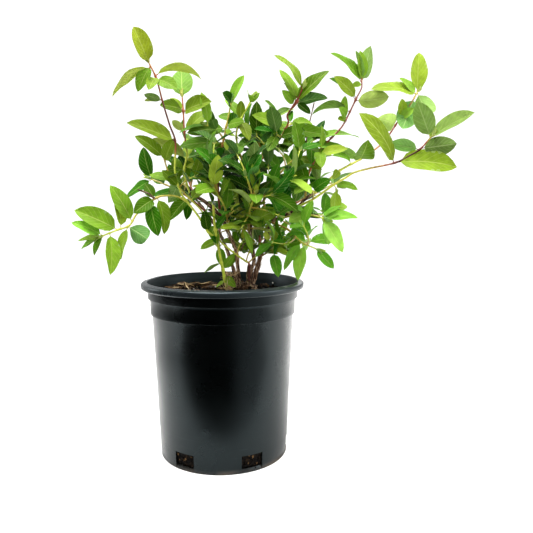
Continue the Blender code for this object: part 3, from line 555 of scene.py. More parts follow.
def smoothRoute(points, step):
    # Catmull-Rom curve through the points, read again every step mm:
    # 0.5 (2b + (c - a) t + (2a - 5b + 4c - d) t^2 + (3b - a - 3c + d) t^3)
    p = np.array(points, float)
    p = np.concatenate([[2 * p[0] - p[1]], p, [2 * p[-1] - p[-2]]])
    t = np.linspace(0, 1, 24, endpoint=False)[None, :, None]
    a, b, c, d = (p[i:len(p) - 3 + i][:, None, :] for i in range(4))
    square, cube = 2 * a - 5 * b + 4 * c - d, 3 * b - a - 3 * c + d
    curve = 0.5 * (2 * b + (c - a) * t + square * t ** 2 + cube * t ** 3)
    curve = np.concatenate([curve.reshape(-1, 3), p[-2:-1]])
    run = runAlong(curve)
    places = np.linspace(0, run[-1], max(4, int(run[-1] / step) + 1))
    return np.stack([np.interp(places, run, curve[:, i]) for i in range(3)], axis=-1), run[-1]


def pathFrames(path):
    # tangent, side and upper directions of a path; the side stays square to the front-back axis
    tangent = unit(np.gradient(path, axis=0))
    side = unit(np.cross(tangent, np.array([0.05, -1.0, 0.08])))
    return tangent, side, np.cross(tangent, side)


capSet = {"foot": 0.3, "tip": 0.5, "grain": (1, 1, 0.35), "lump": 5.0}


def addTube(shape, path, radii, sides, marks=None, rough=0.0, seed=0):
    # ring k, turn a: path + r (side cos a + upper sin a), closed by a low cap at each end
    tangent, side, upper = pathFrames(path)
    turns = np.linspace(0, full, sides, endpoint=False)
    spoke = side[:, None] * np.cos(turns)[None, :, None] + upper[:, None] * np.sin(turns)[None, :, None]
    points = path[:, None] + spoke * radii[:, None, None]
    if rough:
        points = points + spoke * (rough * lumps(points * capSet["grain"], capSet["lump"], seed))[..., None]
    run = runAlong(path)
    uv = np.stack(np.broadcast_arrays(turns[None, :] / full, run[:, None]), axis=-1)
    points = np.concatenate([points.reshape(-1, 3), path[:1] - tangent[:1] * radii[0] * capSet["foot"],
                             path[-1:] + tangent[-1:] * radii[-1] * capSet["tip"]])
    uv = np.concatenate([uv.reshape(-1, 2), [[0, 0]], [[0, run[-1]]]])
    if marks is not None:
        marks = np.concatenate([np.repeat(marks, sides, axis=0), marks[:1], marks[-1:]])
    shape.add(points, shellFaces(len(path), sides), 0, uv, marks)


# Leaves

leafSet = {
    "width": 0.47,  # over the length
    "bend": (0.15, 0.75), "plump": (0.88, 1.10), "fold": (0.10, 0.42),
    "toneSpread": 0.12, "yellow": (0.2, 0.6, 0.20),  # at tone 0, by tone, spread
    "foot": 0.60, "point": 0.78,  # powers of the outline at the foot and at the tip
    "thickness": 0.42,
    "petiole": 3.0, "usual": 36.0,  # lengths of a stalk, and of the blade whose stalk has the radii below
    "stalk": [(0.0, 0.75), (0.4, 0.5), (0.8, 0.42), (1.25, 0.2)],  # rings as (share of the length, radius)
    # spread of each blade's own form, as shares of its length or half width
    "twist": 0.18, "sweep": 0.05, "cup": (-0.12, 0.20), "wave": (0.03, 0.13), "quilt": 0.035,
    "rib": 0.25, "ribWidth": 0.12,
}


def bladeFaces(across, along):
    # point numbers of one lens-shaped blade: rows of the upper side with both margins, rows of the lower
    # side without them, then foot and tip
    upper = np.arange((along - 1) * (across + 1)).reshape(along - 1, across + 1)
    inner = (upper.size + np.arange((along - 1) * (across - 1))).reshape(along - 1, across - 1)
    lower = np.concatenate([upper[:, :1], inner, upper[:, -1:]], axis=1)
    foot, tip = upper.size + inner.size, upper.size + inner.size + 1
    faces, slots = [], []
    for sheet, slot, flip in ((upper, 1, False), (lower, 2, True)):
        quads = np.stack([sheet[:-1, :-1], sheet[:-1, 1:], sheet[1:, 1:], sheet[1:, :-1]], axis=-1)
        starts = np.stack([np.full(across, foot), sheet[0, 1:], sheet[0, :-1], sheet[0, :-1]], axis=-1)
        ends = np.stack([sheet[-1, :-1], sheet[-1, 1:], np.full(across, tip), np.full(across, tip)], axis=-1)
        group = np.concatenate([quads.reshape(-1, 4), starts, ends])
        if flip:
            group = np.where(group[:, 2:3] == group[:, 3:4], group[:, [1, 0, 2, 2]], group[:, ::-1])
        faces.append(group)
        slots.append(np.full(len(group), slot))
    return np.concatenate(faces), np.concatenate(slots)


def bladePoints(upper, lower, foot, tip):
    # the same order for the points, or for their places on the growth map
    size = upper.shape[-1]
    count = len(upper)
    return np.concatenate([upper.reshape(count, -1, size), lower[:, :, 1:-1].reshape(count, -1, size),
                           foot[:, None], tip[:, None]], axis=1)


def addLeaves(shape, leaves, across, along, seed):
    # Blade point at (u, v), u -1..1 across and v 0..1 along:
    #   foot + L (d sin bv - f (1 - cos bv)) / b + a u h + n (fold |u| + cup u^2 + wave u^2 sin) h
    # with half width h = W/2 (v/m)^p ((1-v)/(1-m))^q, m = p/(p+q), and a, n turned by the twist at v
    draw = np.random.default_rng(seed)
    s, number = leafSet, len(leaves["length"])
    length, plump, bend, fold = (leaves[key][:, None, None] for key in ("length", "plump", "bend", "fold"))
    direction, face = leaves["direction"], leaves["face"]
    face = unit(face - direction * (face * direction).sum(-1, keepdims=True))
    sideways = np.cross(direction, face)
    v = np.linspace(0, 1, along + 1)[None, 1:-1, None]
    u = np.linspace(-1, 1, across + 1)[None, None, :]
    p, q = s["foot"], s["point"]
    m = p / (p + q)
    half = length * s["width"] / 2 * plump * (v / m) ** p * ((1 - v) / (1 - m)) ** q
    bend = bend + 1e-4
    each = (number, 1, 1)
    twist = draw.normal(0, s["twist"], each) * v
    cup = draw.uniform(*s["cup"], each)
    wave = draw.uniform(*s["wave"], each)
    phase = draw.uniform(0, 6.28, each)
    sweep = draw.normal(0, s["sweep"], each) * length * v ** 2
    out = np.abs(u)
    rise = fold * out * 0.9 + cup * u ** 2 + wave * u ** 2 * np.sin(9.0 * v + phase + 1.4 * np.sign(u))
    rise = (rise + s["quilt"] * out * (1 - out) * np.sin(full * 6.5 * (v - 0.3 * out))) * half

    d, f, a = (way[:, None, None, :] for way in (direction, face, sideways))
    bendV = (bend * v)[..., None]
    centre = length[..., None] * (d * np.sin(bendV) - f * (1 - np.cos(bendV))) / bend[..., None]
    normal = f * np.cos(bendV) + d * np.sin(bendV)
    turn = twist[..., None]
    outward, upward = a * np.cos(turn) + normal * np.sin(turn), normal * np.cos(turn) - a * np.sin(turn)
    centre = leaves["base"][:, None, None] + centre + a * sweep[..., None]
    middle = centre + outward * (u * half)[..., None] + upward * rise[..., None]
    thick = s["thickness"] / 2 * (1 - u ** 2) * (4 * v * (1 - v)) ** 0.4 + 0 * half
    rib = s["rib"] * np.exp(-(u / s["ribWidth"]) ** 2) * (1 - v)
    upper = middle + upward * (thick - 0.4 * rib)[..., None]
    lower = middle - upward * (thick + rib)[..., None]
    chord = length[:, 0] * (direction * np.sin(bend[:, 0]) - face * (1 - np.cos(bend[:, 0]))) / bend[:, 0]
    tip = leaves["base"] + chord + sideways * (sweep[:, -1] / v[0, -1] ** 2)
    points = bladePoints(upper, lower, leaves["base"], tip)
    flat = np.stack(np.broadcast_arrays(u * 0.5 + 0.5, v), axis=-1)
    uv = bladePoints(flat, flat, np.array([[0.5, 0.0]]), np.array([[0.5, 1.0]]))
    faces, slots = bladeFaces(across, along)
    marks = np.stack([leaves["tone"], leaves["yellow"]], axis=-1)[:, None].repeat(points.shape[1], axis=1)
    shape.add(points, copies(faces, number, points.shape[1]), np.tile(slots, number),
              np.tile(uv[0], (number, 1)), marks)


def addPetioles(shape, leaves):
    # a short stalk from the stem to each blade, 4 rings of 5 points along start + way t - 0.35 face sin 2.4t
    number, face, tangent = len(leaves["start"]), leaves["face"], leaves["direction"]
    share, radius = np.array(leafSet["stalk"]).T[:, :, None]
    face = unit(face - tangent * (face * tangent).sum(-1, keepdims=True))
    way = (leaves["base"] - leaves["start"])[:, None]
    centre = leaves["start"][:, None] + way * share + face[:, None] * (-0.35 * np.sin(share * 2.4))
    side = np.cross(tangent, face)
    radius = radius[:, None] * (leaves["length"] / leafSet["usual"])[:, None, None, None] ** 0.5
    turns = np.linspace(0, full, 5, endpoint=False)[:, None]
    spoke = side[:, None, None] * np.cos(turns) - face[:, None, None] * np.sin(turns)
    ring = centre[:, :, None] + radius * spoke
    ends = [[4, 3, 2, 1], [4, 1, 0, 0], [16, 17, 18, 19], [15, 16, 19, 19]]
    faces = np.concatenate([gridFaces(4, 5, closed=True), ends])
    marks = np.stack([leaves["tone"], leaves["ripe"]], axis=-1)[:, None].repeat(20, axis=1)
    shape.add(ring, copies(faces, number, 20), 0, None, marks)


# The shoots: routes and main leaves as in the solids, in mm.
# route; radius at the foot and tip; youth of the leaves from foot to tip (0 old and dark, 1 young), set paler
# on shoot_green, shoot_front_left, shoot_front_middle, shoot_right and shoot_far_right as painted light where
# their leaves sit in shade; cool makes them that much less yellow; ripeness of the skin along the shoot (0
# green,
# 1 red-brown) as (share, value); leaves as (share, compass, rise, length, roll, width over length, bend), or
# none where they follow the rule of opposite pairs; a roll past 90 shows the underside

shoots = {
    "shoot_green": {
        "route": [(5, 12, 158), (4, 10, 166), (-1, 5, 191), (-4, 0, 207), (-6, -6, 219), (-8, -12, 235),
            (-9, -16, 252)],
        "radius": (1.7, 1.2), "youthAndPaintedLight": (0.62, 0.5), "cool": 0.3, "cut": True, "ripe": [(0, 0.05), (1, 0.15)],
        "leaves": [(0.74, -34, 9, 58, 50, 0.34, 0.5), (0.75, -20, 50, 20, 30, 0.47, 0.4),
            (0.62, -115, 15, 15, 0, 0.56, 0.3), (0.37, -170, -30, 21, 105, 0.43, 0.2),
            (0.29, 20, 55, 20, 10, 0.46, 0.3), (0.18, -170, -35, 12, 35, 0.47, 0.3),
            (0.21, -35, -30, 17, 0, 0.55, 0.5)],
    },
    "shoot_tall_left": {
        "route": [(-6, -6, 219), (-14, -8, 225), (-18, -10, 232), (-25, -13, 243), (-34, -16, 255),
            (-40, -19, 264), (-45, -21, 283), (-44, -23, 311), (-49, -25, 327), (-55, -27, 348),
            (-60, -28, 368), (-66, -30, 381)],
        "radius": (1.15, 0.7), "youthAndPaintedLight": (0.25, 0.55), "cool": -0.25,
        "ripe": [(0, 0.1), (0.5, 0.12), (0.6, 0.95), (0.78, 0.95), (0.86, 0.6), (1, 0.5)],
        "leaves": [(1.0, -160, 60, 34, 10, 0.56, 0.6), (0.99, -155, -65, 28, 0, 0.5, 0.5),
            (0.98, -165, -40, 46, 80, 0.45, 0.4), (0.94, -10, -10, 45, 80, 0.32, 1.5),
            (0.93, -110, -45, 21, 0, 0.56, 0.5), (0.92, -35, -25, 28, 0, 0.56, 0.5),
            (0.81, -170, 15, 17, 155, 0.46, 0.4), (0.81, 170, -5, 17, 105, 0.41, 0.4),
            (0.6, -170, 15, 47, 20, 0.44, 0.4), (0.36, -165, 45, 22, 0, 0.46, 0.5),
            (0.06, -115, 65, 23, 0, 0.53, 0.3)],
    },
    "shoot_inner_left": {
        "route": [(-33, 9, 264), (-38, 5, 285), (-35, 3, 302), (-37, 2, 323), (-38, 5, 345), (-39, 8, 358)],
        "radius": (1.1, 0.7), "youthAndPaintedLight": (0.32, 0.62), "cool": -0.25,
        "ripe": [(0, 0.1), (0.45, 0.15), (0.55, 0.6), (1, 0.55)],
        "leaves": [(1.0, 95, 50, 43, 0, 0.56, 0.4), (0.86, -135, 0, 30, 0, 0.56, 0.5),
            (0.87, 165, 40, 18, 0, 0.53, 0.4), (0.85, -35, 10, 36, 0, 0.56, 0.5),
            (0.63, 15, 40, 35, 15, 0.45, 0.4), (0.65, -145, 35, 16, 155, 0.55, 0.3),
            (0.36, -170, 25, 40, 105, 0.44, 0.5), (0.28, -10, -5, 20, 25, 0.46, 0.5),
            (0.25, -170, -5, 20, 25, 0.47, 0.5)],
    },
    "shoot_low_left": {
        "route": [(-34, -16, 255), (-43, -19, 260), (-53, -21, 261), (-64, -25, 258), (-80, -30, 244),
            (-87, -34, 233), (-97, -39, 229), (-109, -45, 224)],
        "radius": (1.05, 0.7), "youthAndPaintedLight": (0.38, 0.52), "ripe": [(0, 0.2), (0.4, 0.35), (1, 0.1)],
        "leaves": [(0.67, -160, 60, 39, 25, 0.46, 0.4), (0.82, 145, 75, 32, 45, 0.46, 0.4),
            (0.85, -170, 25, 42, 10, 0.52, 0.4), (1.0, -165, 25, 30, 25, 0.46, 0.3),
            (1.0, -170, -15, 23, 30, 0.43, 0.3), (1.0, 170, -30, 25, 35, 0.43, 0.3),
            (1.0, 160, -60, 21, 25, 0.4, 0.4), (0.94, -75, -80, 39, 40, 0.45, 0.4),
            (0.75, -130, -75, 32, 30, 0.4, 0.4), (0.74, -50, -15, 35, 170, 0.56, 0.3),
            (0.35, -135, -30, 28, 0, 0.56, 0.5), (0.4, -45, -75, 34, 0, 0.46, 0.6),
            (0.32, 40, -75, 36, 35, 0.46, 0.5), (0.35, 130, 45, 21, 0, 0.56, 0.4)],
    },
    "shoot_left_core": {
        "route": [(26, 11, 163), (27, 8, 190), (23, 5, 195), (12, 4, 203), (-1, 5, 214), (-10, 4, 226),
            (-20, 2, 245), (-32, -1, 258), (-43, -4, 270), (-52, -6, 283), (-57, -5, 298)],
        "radius": (1.1, 0.7), "youthAndPaintedLight": (0.28, 0.48), "cool": -0.2,
        "ripe": [(0, 1.0), (0.16, 1.0), (0.2, 0.15), (0.5, 0.1), (1, 0.4)],
        "leaves": [(1.0, -170, 40, 34, 10, 0.44, 0.5), (0.97, -60, 50, 30, 5, 0.46, 0.4),
            (0.86, 150, 10, 30, 20, 0.44, 0.5), (0.85, -80, 10, 34, 5, 0.46, 0.5),
            (0.72, -140, -40, 34, 5, 0.44, 0.5), (0.7, 60, 30, 30, 10, 0.44, 0.4),
            (0.52, -60, -50, 26, 10, 0.44, 0.4)],
    },
    "shoot_top_left": {
        "route": [(-2, 10, 240), (-4, 4, 262), (-4, 2, 290), (2, 0, 318), (9, -2, 351)],
        "radius": (1.3, 0.7), "youthAndPaintedLight": (0.1, 0.42), "ripe": [(0, 0.9), (0.6, 0.5), (1, 0.2)],
        "leaves": [(1.0, -20, 60, 30, 35, 0.46, 0.3), (0.99, -110, 20, 26, 0, 0.56, 0.4),
            (0.79, -170, -10, 39, 10, 0.46, 0.5), (0.82, -45, 0, 24, 0, 0.56, 0.4),
            (0.7, -20, -55, 26, 0, 0.5, 0.5), (0.8, 30, 35, 30, 20, 0.44, 0.5),
            (0.66, -170, -5, 44, 10, 0.42, 0.5), (0.64, -50, -40, 30, 10, 0.44, 0.4),
            (0.48, -95, 20, 34, 5, 0.46, 0.4), (0.32, -150, 25, 32, 10, 0.44, 0.5)],
    },
    "shoot_top_centre": {
        "route": [(31, 8, 262), (24, 4, 285), (15, -3, 312), (16, -5, 330), (29, -6, 354)],
        "radius": (1.2, 0.7), "youthAndPaintedLight": (0.25, 0.65), "ripe": [(0, 0.6), (0.6, 0.2), (1, 0.1)],
        "leaves": [(0.96, -10, 45, 14, 0, 0.46, 0.3), (0.78, 55, 80, 20, 0, 0.49, 0.3),
            (0.97, -100, 10, 26, 5, 0.46, 0.4), (0.8, 140, 45, 28, 10, 0.42, 0.4),
            (0.78, -60, -50, 28, 10, 0.44, 0.4), (0.6, -110, 0, 34, 5, 0.46, 0.5),
            (0.42, 170, 20, 32, 10, 0.44, 0.5)],
    },
    "shoot_top_middle": {
        "route": [(31, 5, 288), (46, 1, 305), (57, -5, 317), (65, -8, 332), (64, -12, 340), (72, -17, 351),
            (77, -20, 362)],
        "radius": (1.2, 0.7), "youthAndPaintedLight": (0.3, 0.52), "ripe": [(0, 0.4), (0.6, 0.7), (1, 0.8)],
        "leaves": [(1.0, -165, 45, 42, 40, 0.45, 1.0), (0.89, 160, 55, 35, 25, 0.47, 0.4),
            (0.82, -155, 45, 19, 0, 0.56, 0.4), (0.8, -165, -30, 22, 35, 0.44, 0.8),
            (0.87, -15, 40, 43, 25, 0.41, 0.5), (0.88, 55, 50, 20, 0, 0.56, 0.3),
            (0.86, 160, 60, 23, 25, 0.46, 0.4), (0.84, -10, 10, 32, 115, 0.46, 0.5),
            (0.86, -15, -40, 18, 0, 0.5, 0.3), (0.56, -160, 15, 38, 10, 0.42, 0.5),
            (0.54, 0, -10, 40, 10, 0.42, 0.5), (0.32, -100, 30, 34, 5, 0.46, 0.5)],
    },
    "shoot_centre_right": {
        "route": [(29, 11, 240), (42, 14, 262), (58, 16, 283), (72, 14, 298), (85, 12, 308), (93, 11, 318)],
        "radius": (1.2, 0.7), "youthAndPaintedLight": (0.1, 0.4), "ripe": [(0, 0.6), (0.8, 0.2), (1, 0.1)],
        "leaves": [(0.98, 20, 55, 27, 30, 0.46, 0.3), (0.96, -12, -7, 38, 30, 0.4, 0.3),
            (0.99, -115, -75, 24, 5, 0.51, 0.5), (1.0, 10, 5, 50, 40, 0.42, 0.8),
            (0.88, -150, 40, 26, 0, 0.56, 0.5), (0.78, -10, -30, 29, 15, 0.47, 0.5),
            (0.56, -160, 40, 32, 10, 0.44, 0.4), (0.4, -40, -20, 30, 10, 0.44, 0.4)],
    },
    "shoot_upper_right": {
        "route": [(84, 2, 258), (86, 6, 276), (92, 8, 293), (101, 9, 309), (121, 11, 330), (127, 14, 339),
            (131, 16, 346), (139, 19, 362), (145, 22, 373), (146, 25, 381)],
        "radius": (1.25, 0.7), "youthAndPaintedLight": (0.35, 0.58),
        "ripe": [(0, 0.3), (0.4, 0.75), (0.7, 0.85), (0.95, 0.85), (1, 0.6)],
        "leaves": [(1.0, 30, 70, 40, 170, 0.46, 0.3), (1.0, -120, 80, 30, 20, 0.45, 0.3),
            (1.0, -145, 70, 31, 95, 0.44, 0.3), (0.99, -170, 35, 45, 25, 0.43, 0.6),
            (0.98, -165, -15, 13, 0, 0.56, 0.3), (0.85, -165, 35, 33, 0, 0.5, 0.5),
            (0.84, 170, 35, 35, 85, 0.4, 0.5), (0.83, -30, -5, 35, 145, 0.56, 0.5),
            (0.67, 85, 80, 25, 50, 0.45, 0.3), (0.67, -125, 25, 22, 0, 0.56, 0.4),
            (0.66, -135, 0, 15, 0, 0.56, 0.3), (0.74, 170, -5, 40, 90, 0.39, 1.2),
            (0.5, 170, 20, 28, 5, 0.44, 0.4), (0.34, 20, 20, 30, 20, 0.42, 0.4)],
    },
    "shoot_right": {
        "route": [(92, 1, 265), (98, 1, 268), (115, 2, 284), (128, 4, 292), (143, 6, 300), (165, 9, 316),
            (182, 11, 339), (194, 13, 355), (202, 15, 368)],
        "radius": (1.3, 0.7), "youthAndPaintedLight": (0.5, 0.68), "cool": 0.1,
        "ripe": [(0, 0.15), (0.4, 0.2), (0.6, 0.65), (0.8, 0.75), (1, 0.3)],
        "leaves": [(1.0, 90, 80, 43, 5, 0.46, 0.3), (0.99, -170, 35, 25, 5, 0.47, 0.3),
            (1.0, -85, -45, 35, 145, 0.6, 1.3), (0.99, -170, 0, 51, 25, 0.42, 0.7),
            (0.96, -130, -55, 42, 180, 0.58, 0.6), (0.8, -105, 55, 20, 0, 0.56, 0.3),
            (0.78, -35, 35, 18, 0, 0.56, 0.3), (0.73, 105, 25, 37, 130, 0.56, 0.3),
            (0.39, -90, 25, 39, 5, 0.56, 0.3), (0.39, -170, 10, 30, 115, 0.45, 1.0),
            (0.32, -170, 20, 24, 30, 0.43, 1.2), (0.23, -140, -30, 16, 0, 0.56, 0.3)],
    },
    "shoot_far_right": {
        "route": [(76, 5, 250), (83, -4, 254), (92, -8, 259), (112, -11, 273), (122, -13, 279),
            (130, -16, 284), (145, -20, 288), (168, -25, 293), (182, -28, 300), (191, -31, 306),
            (199, -35, 316)],
        "radius": (1.3, 0.7), "youthAndPaintedLight": (0.38, 0.58),
        "ripe": [(0, 0.1), (0.5, 0.25), (0.65, 0.5), (0.75, 1), (0.9, 1), (1, 0.3)],
        "leaves": [(0.72, -165, 45, 60, 25, 0.44, 0.9), (0.74, -10, -5, 57, 15, 0.46, 0.5),
            (0.91, -25, 5, 33, 155, 0.62, 0.5), (1.0, -150, 60, 37, 145, 0.58, 0.4),
            (1.0, 55, 40, 16, 5, 0.56, 0.2), (1.0, -10, 30, 47, 115, 0.42, 0.3),
            (0.9, 170, 10, 30, 130, 0.5, 0.3)],
    },
    "shoot_low_right": {
        "route": [(57, 9, 238), (74, -4, 242), (88, -10, 242), (99, -17, 239)],
        "radius": (1.1, 0.7), "youthAndPaintedLight": (0.62, 0.76), "cool": 0.65, "ripe": [(0, 0.3), (1, 0.1)],
        "leaves": [(0.97, -10, 0, 36, 25, 0.46, 0.3), (0.97, 10, 30, 26, 40, 0.43, 0.3),
            (1.0, -10, 15, 17, 25, 0.47, 0.3), (1.0, -20, -60, 39, 10, 0.45, 0.4),
            (1.0, 35, -70, 28, 15, 0.46, 0.4), (0.61, -140, -15, 26, 0, 0.56, 0.5),
            (0.6, -120, 10, 30, 15, 0.44, 0.4), (0.4, -60, -40, 28, 10, 0.44, 0.4)],
    },
    "shoot_hanging_right": {
        "route": [(49, 10, 235), (65, -3, 228), (79, -9, 215), (92, -16, 209)],
        "radius": (1.0, 0.7), "youthAndPaintedLight": (0.58, 0.7), "cool": 0.65, "ripe": [(0, 0.5), (1, 0.1)],
        "leaves": [(1.0, -15, -50, 27, 10, 0.45, 0.4), (0.79, -125, -75, 38, 45, 0.45, 0.4),
            (0.72, -160, -55, 34, 40, 0.41, 0.4), (0.36, -155, -62, 31, 55, 0.42, 0.4),
            (0.41, -35, -10, 23, 0, 0.56, 0.5)],
    },
    "shoot_front_left": {
        "route": [(6, 11, 225), (5, -6, 234), (2, -24, 250), (-8, -42, 268)],
        "radius": (1.3, 0.7), "youthAndPaintedLight": (0.32, 0.5), "ripe": [(0, 0.5), (1, 0.1)],
    },
    "shoot_front_middle": {
        "route": [(28, 12, 222), (26, -6, 231), (26, -28, 246), (30, -50, 262)],
        "radius": (1.3, 0.7), "youthAndPaintedLight": (0.46, 0.6), "ripe": [(0, 0.5), (1, 0.1)],
    },
    "shoot_front_right": {
        "route": [(49, 10, 235), (43, 5, 249), (42, -6, 260), (52, -28, 266), (62, -46, 276)],
        "radius": (1.3, 0.7), "youthAndPaintedLight": (0.35, 0.55), "ripe": [(0, 0.5), (1, 0.1)],
    },
    "shoot_back_left": {
        "route": [(-32, 70, 262), (-38, 83, 282), (-42, 92, 304), (-40, 99, 324)],
        "radius": (1.4, 0.7), "youthAndPaintedLight": (0.08, 0.38), "ripe": [(0, 0.6), (1, 0.5)],
    },
    "shoot_back_far_left": {
        "route": [(-18, 58, 245), (-36, 52, 260), (-56, 50, 272), (-76, 52, 280)],
        "radius": (1.3, 0.7), "youthAndPaintedLight": (0.08, 0.38), "ripe": [(0, 0.6), (1, 0.3)],
    },
    "shoot_back_centre": {
        "route": [(-4, 46, 222), (2, 62, 244), (10, 82, 262), (16, 98, 284)],
        "radius": (1.3, 0.7), "youthAndPaintedLight": (0.08, 0.38), "ripe": [(0, 0.6), (1, 0.3)],
    },
    "shoot_back_right": {
        "route": [(76, 76, 262), (84, 87, 282), (90, 95, 302), (92, 100, 318)],
        "radius": (1.4, 0.7), "youthAndPaintedLight": (0.08, 0.38), "ripe": [(0, 0.6), (1, 0.4)],
    },
    "shoot_back_far_right": {
        "route": [(66, 62, 246), (84, 58, 256), (104, 58, 266), (124, 62, 276)],
        "radius": (1.3, 0.7), "youthAndPaintedLight": (0.08, 0.38), "ripe": [(0, 0.6), (1, 0.3)],
    },
    "shoot_back_top": {
        "route": [(40, 38, 196), (40, 44, 228), (38, 46, 262), (42, 48, 296), (46, 50, 326)],
        "radius": (1.5, 0.7), "youthAndPaintedLight": (0.15, 0.5), "ripe": [(0, 0.7), (1, 0.3)],
    },
}
growth = {
    "spacing": 19.0, "bareShare": 0.30, "pairLength": 37.0,  # where the leaves of a shoot follow the rule
    "lean": 52.0,  # degrees between a stem and its leaves
    "light": (0.0, -1.0, 0.35),
    "nodeSwell": 0.38, "nodeWidth": 1.7,  # how much fatter a stem is at a pair of leaves, and how far along
    "sides": 10, "step": 1.6, "twigSides": 6, "twigStep": 2.5,
    "zones": [  # ellipsoids that side twigs fill: heart, reach, number, leaf lengths, paler by (painted light)
        ((30.0, 12.0, 272.0), (88.0, 68.0, 78.0), 76, (20.0, 33.0), 0.0),
        # the low zone behind the canes is 0.62 paler: painted light, as its leaves are lit from behind
        ((27.0, 6.0, 238.0), (28.0, 22.0, 26.0), 14, (10.0, 18.0), 0.62),
    ],
    "shade": (24.0, 0.0, 284.0), "shadeReach": (46.0, 70.0, 42.0),  # middle and reach of the painted shade, where the leaves are darkest
    "twigReach": (16.0, 58.0),  # shortest and longest side twig
    "twigSpacing": 12.0, "twigBow": 0.45, "twigSag": 0.12,  # bow and sag are shares of the twig's length
    "tries": 14,  # places drawn for each twig, of which the farthest from the others is used
    "toneRise": 0.42, "toneStart": 0.55, "toneTop": 0.75,  # painted shade: paler outwards from its middle
    "stray": 0.28, "faceWay": (0, -0.65, 1.0), "faceLean": 0.2, "faceStray": 0.38, "pairSpread": (0.82, 1.1),
    # gaps left open as x, z, radius, and the room kept round each
    "gapRoom": 10,
    "open": [(-36.0, 222.0, 22.0), (15.0, 322.0, 9.0), (62.0, 276.0, 8.0), (-66.0, 300.0, 14.0)],
}


def leafRow(rows, place, direction, face, length, tone, ripeness, draw, bend=None, plump=None):
    # one leaf's values; the blade starts a petiole away from the stem and bows about its chord
    s = leafSet
    bend = draw.uniform(*s["bend"]) if bend is None else bend
    plump = draw.uniform(*s["plump"]) if plump is None else plump
    face = unit(face - direction * np.dot(face, direction))
    start = direction * math.cos(bend / 2) + face * math.sin(bend / 2)
    stalk = s["petiole"] * min(1.0, length / 30)
    chord = math.sin(bend / 2) / (bend / 2)
    fold = draw.uniform(*s["fold"])
    least, byTone, spread = s["yellow"]
    own = np.clip(tone + draw.normal(0, s["toneSpread"]), 0, 1)
    yellow = np.clip(least + byTone * tone + draw.normal(0, spread), 0, 1)
    rows.append({"start": place, "base": place + start * stalk, "direction": start, "face": face,
                 "length": (length - stalk) / chord, "bend": bend, "fold": fold, "plump": plump,
                 "tone": own, "yellow": yellow, "ripe": ripeness})


def turned(vector, axis, degrees):
    # the vector turned about a unit axis: v cos t + (k x v) sin t + k (k.v)(1 - cos t)
    t = math.radians(degrees)
    return (vector * math.cos(t) + np.cross(axis, vector) * math.sin(t)
            + axis * np.dot(axis, vector) * (1 - math.cos(t)))


def pairAt(rows, place, forward, number, length, tone, ripeness, draw):
    # two opposite leaves; each pair is a quarter turn round the stem from the last one
    level = unit(np.cross(forward, [0, 0, 1.0]))
    side = level if number % 2 == 0 else np.cross(level, forward)
    lean = math.radians(growth["lean"])
    for sign in (-1, 1):
        outward = side * sign + draw.uniform(-growth["stray"], growth["stray"], 3)
        direction = unit(forward * math.cos(lean) + outward * math.sin(lean))
        face = growth["faceWay"] + forward * growth["faceLean"] + draw.normal(0, growth["faceStray"], 3)
        size = length * draw.uniform(*growth["pairSpread"])
        leafRow(rows, place, direction, face, size, tone, ripeness, draw)


def budAt(rows, place, forward, tone, draw, size=11.0):
    # the closed tip of a shoot: two pairs of small folded leaves
    side = unit(np.cross(forward, draw.normal(0, 1, 3)))
    for lean, share, out in ((14, 1.0, side), (14, 0.9, -side), (28, 0.6, np.cross(side, forward)),
                             (28, 0.55, -np.cross(side, forward))):
        lean = math.radians(lean)
        direction = unit(forward * math.cos(lean) + out * math.sin(lean))
        paler = min(1.0, tone + 0.25)
        leafRow(rows, place, direction, forward * 0.1 - out, size * share, paler, 0.1, draw, 0.2)


def stemRadii(path, run, foot, tip, nodes):
    # taper from foot to tip, with a swelling e^-(x/w)^2 at each node
    places = np.linspace(0, run, len(path))
    radii = foot + (tip - foot) * (places / run) ** 0.8
    for node in nodes:
        near = np.exp(-((places - node * run) / growth["nodeWidth"]) ** 2)
        radii = radii * (1 + growth["nodeSwell"] * near)
    return radii


def planTwigs():
    # side twigs: targets spread through each ellipsoid, each the farthest of some draws from those before it,
    # joined to the nearest stem point that lies lower or nearer the middle
    draw = np.random.default_rng(77)
    stems, owners, shares = [], [], []
    for name, spec in shoots.items():
        path = smoothRoute(spec["route"], 3.0)[0]
        share = np.linspace(0, 1, len(path))
        use = share < 0.9
        stems.append(path[use])
        owners += [name] * int(use.sum())
        shares.append(share[use])
    stems, shares = np.concatenate(stems), np.concatenate(shares)
    plan = {name: [] for name in shoots}
    nearest, farthest = growth["twigReach"]
    for heart, reach, number, lengths, paler in growth["zones"]:
        taken, made, tries = [np.array(heart)], 0, growth["tries"]
        while made < number:
            way = unit(draw.normal(size=(tries, 3)))
            spots = heart + reach * way * (draw.uniform(0.10, 1, (tries, 1)) ** (1 / 2.4))
            far = np.linalg.norm(spots[:, None] - np.array(taken)[None], axis=-1).min(axis=1)
            for x, z, radius in growth["open"]:
                gap = radius + growth["gapRoom"]
                far = np.where(np.hypot(spots[:, 0] - x, spots[:, 2] - z) < gap, 0, far)
            target = spots[np.argmax(far)]
            taken.append(target)
            away = target - stems
            k = int(np.argmin(np.linalg.norm(away, axis=1) - 0.35 * away[:, 2]))
            if nearest < np.linalg.norm(away[k]) < farthest and owners[k] != "shoot_green":
                # painted shade: twig leaves darker towards the middle of the bush, where shade falls among
                # them, plus the zone's painted light
                out = np.linalg.norm((target - growth["shade"]) / growth["shadeReach"])
                tone = growth["toneRise"] * (out - growth["toneStart"]) + paler
                tone = np.clip(tone, 0.0, growth["toneTop"])
                plan[owners[k]].append((shares[k], target, tone, lengths))
                made += 1
    return plan


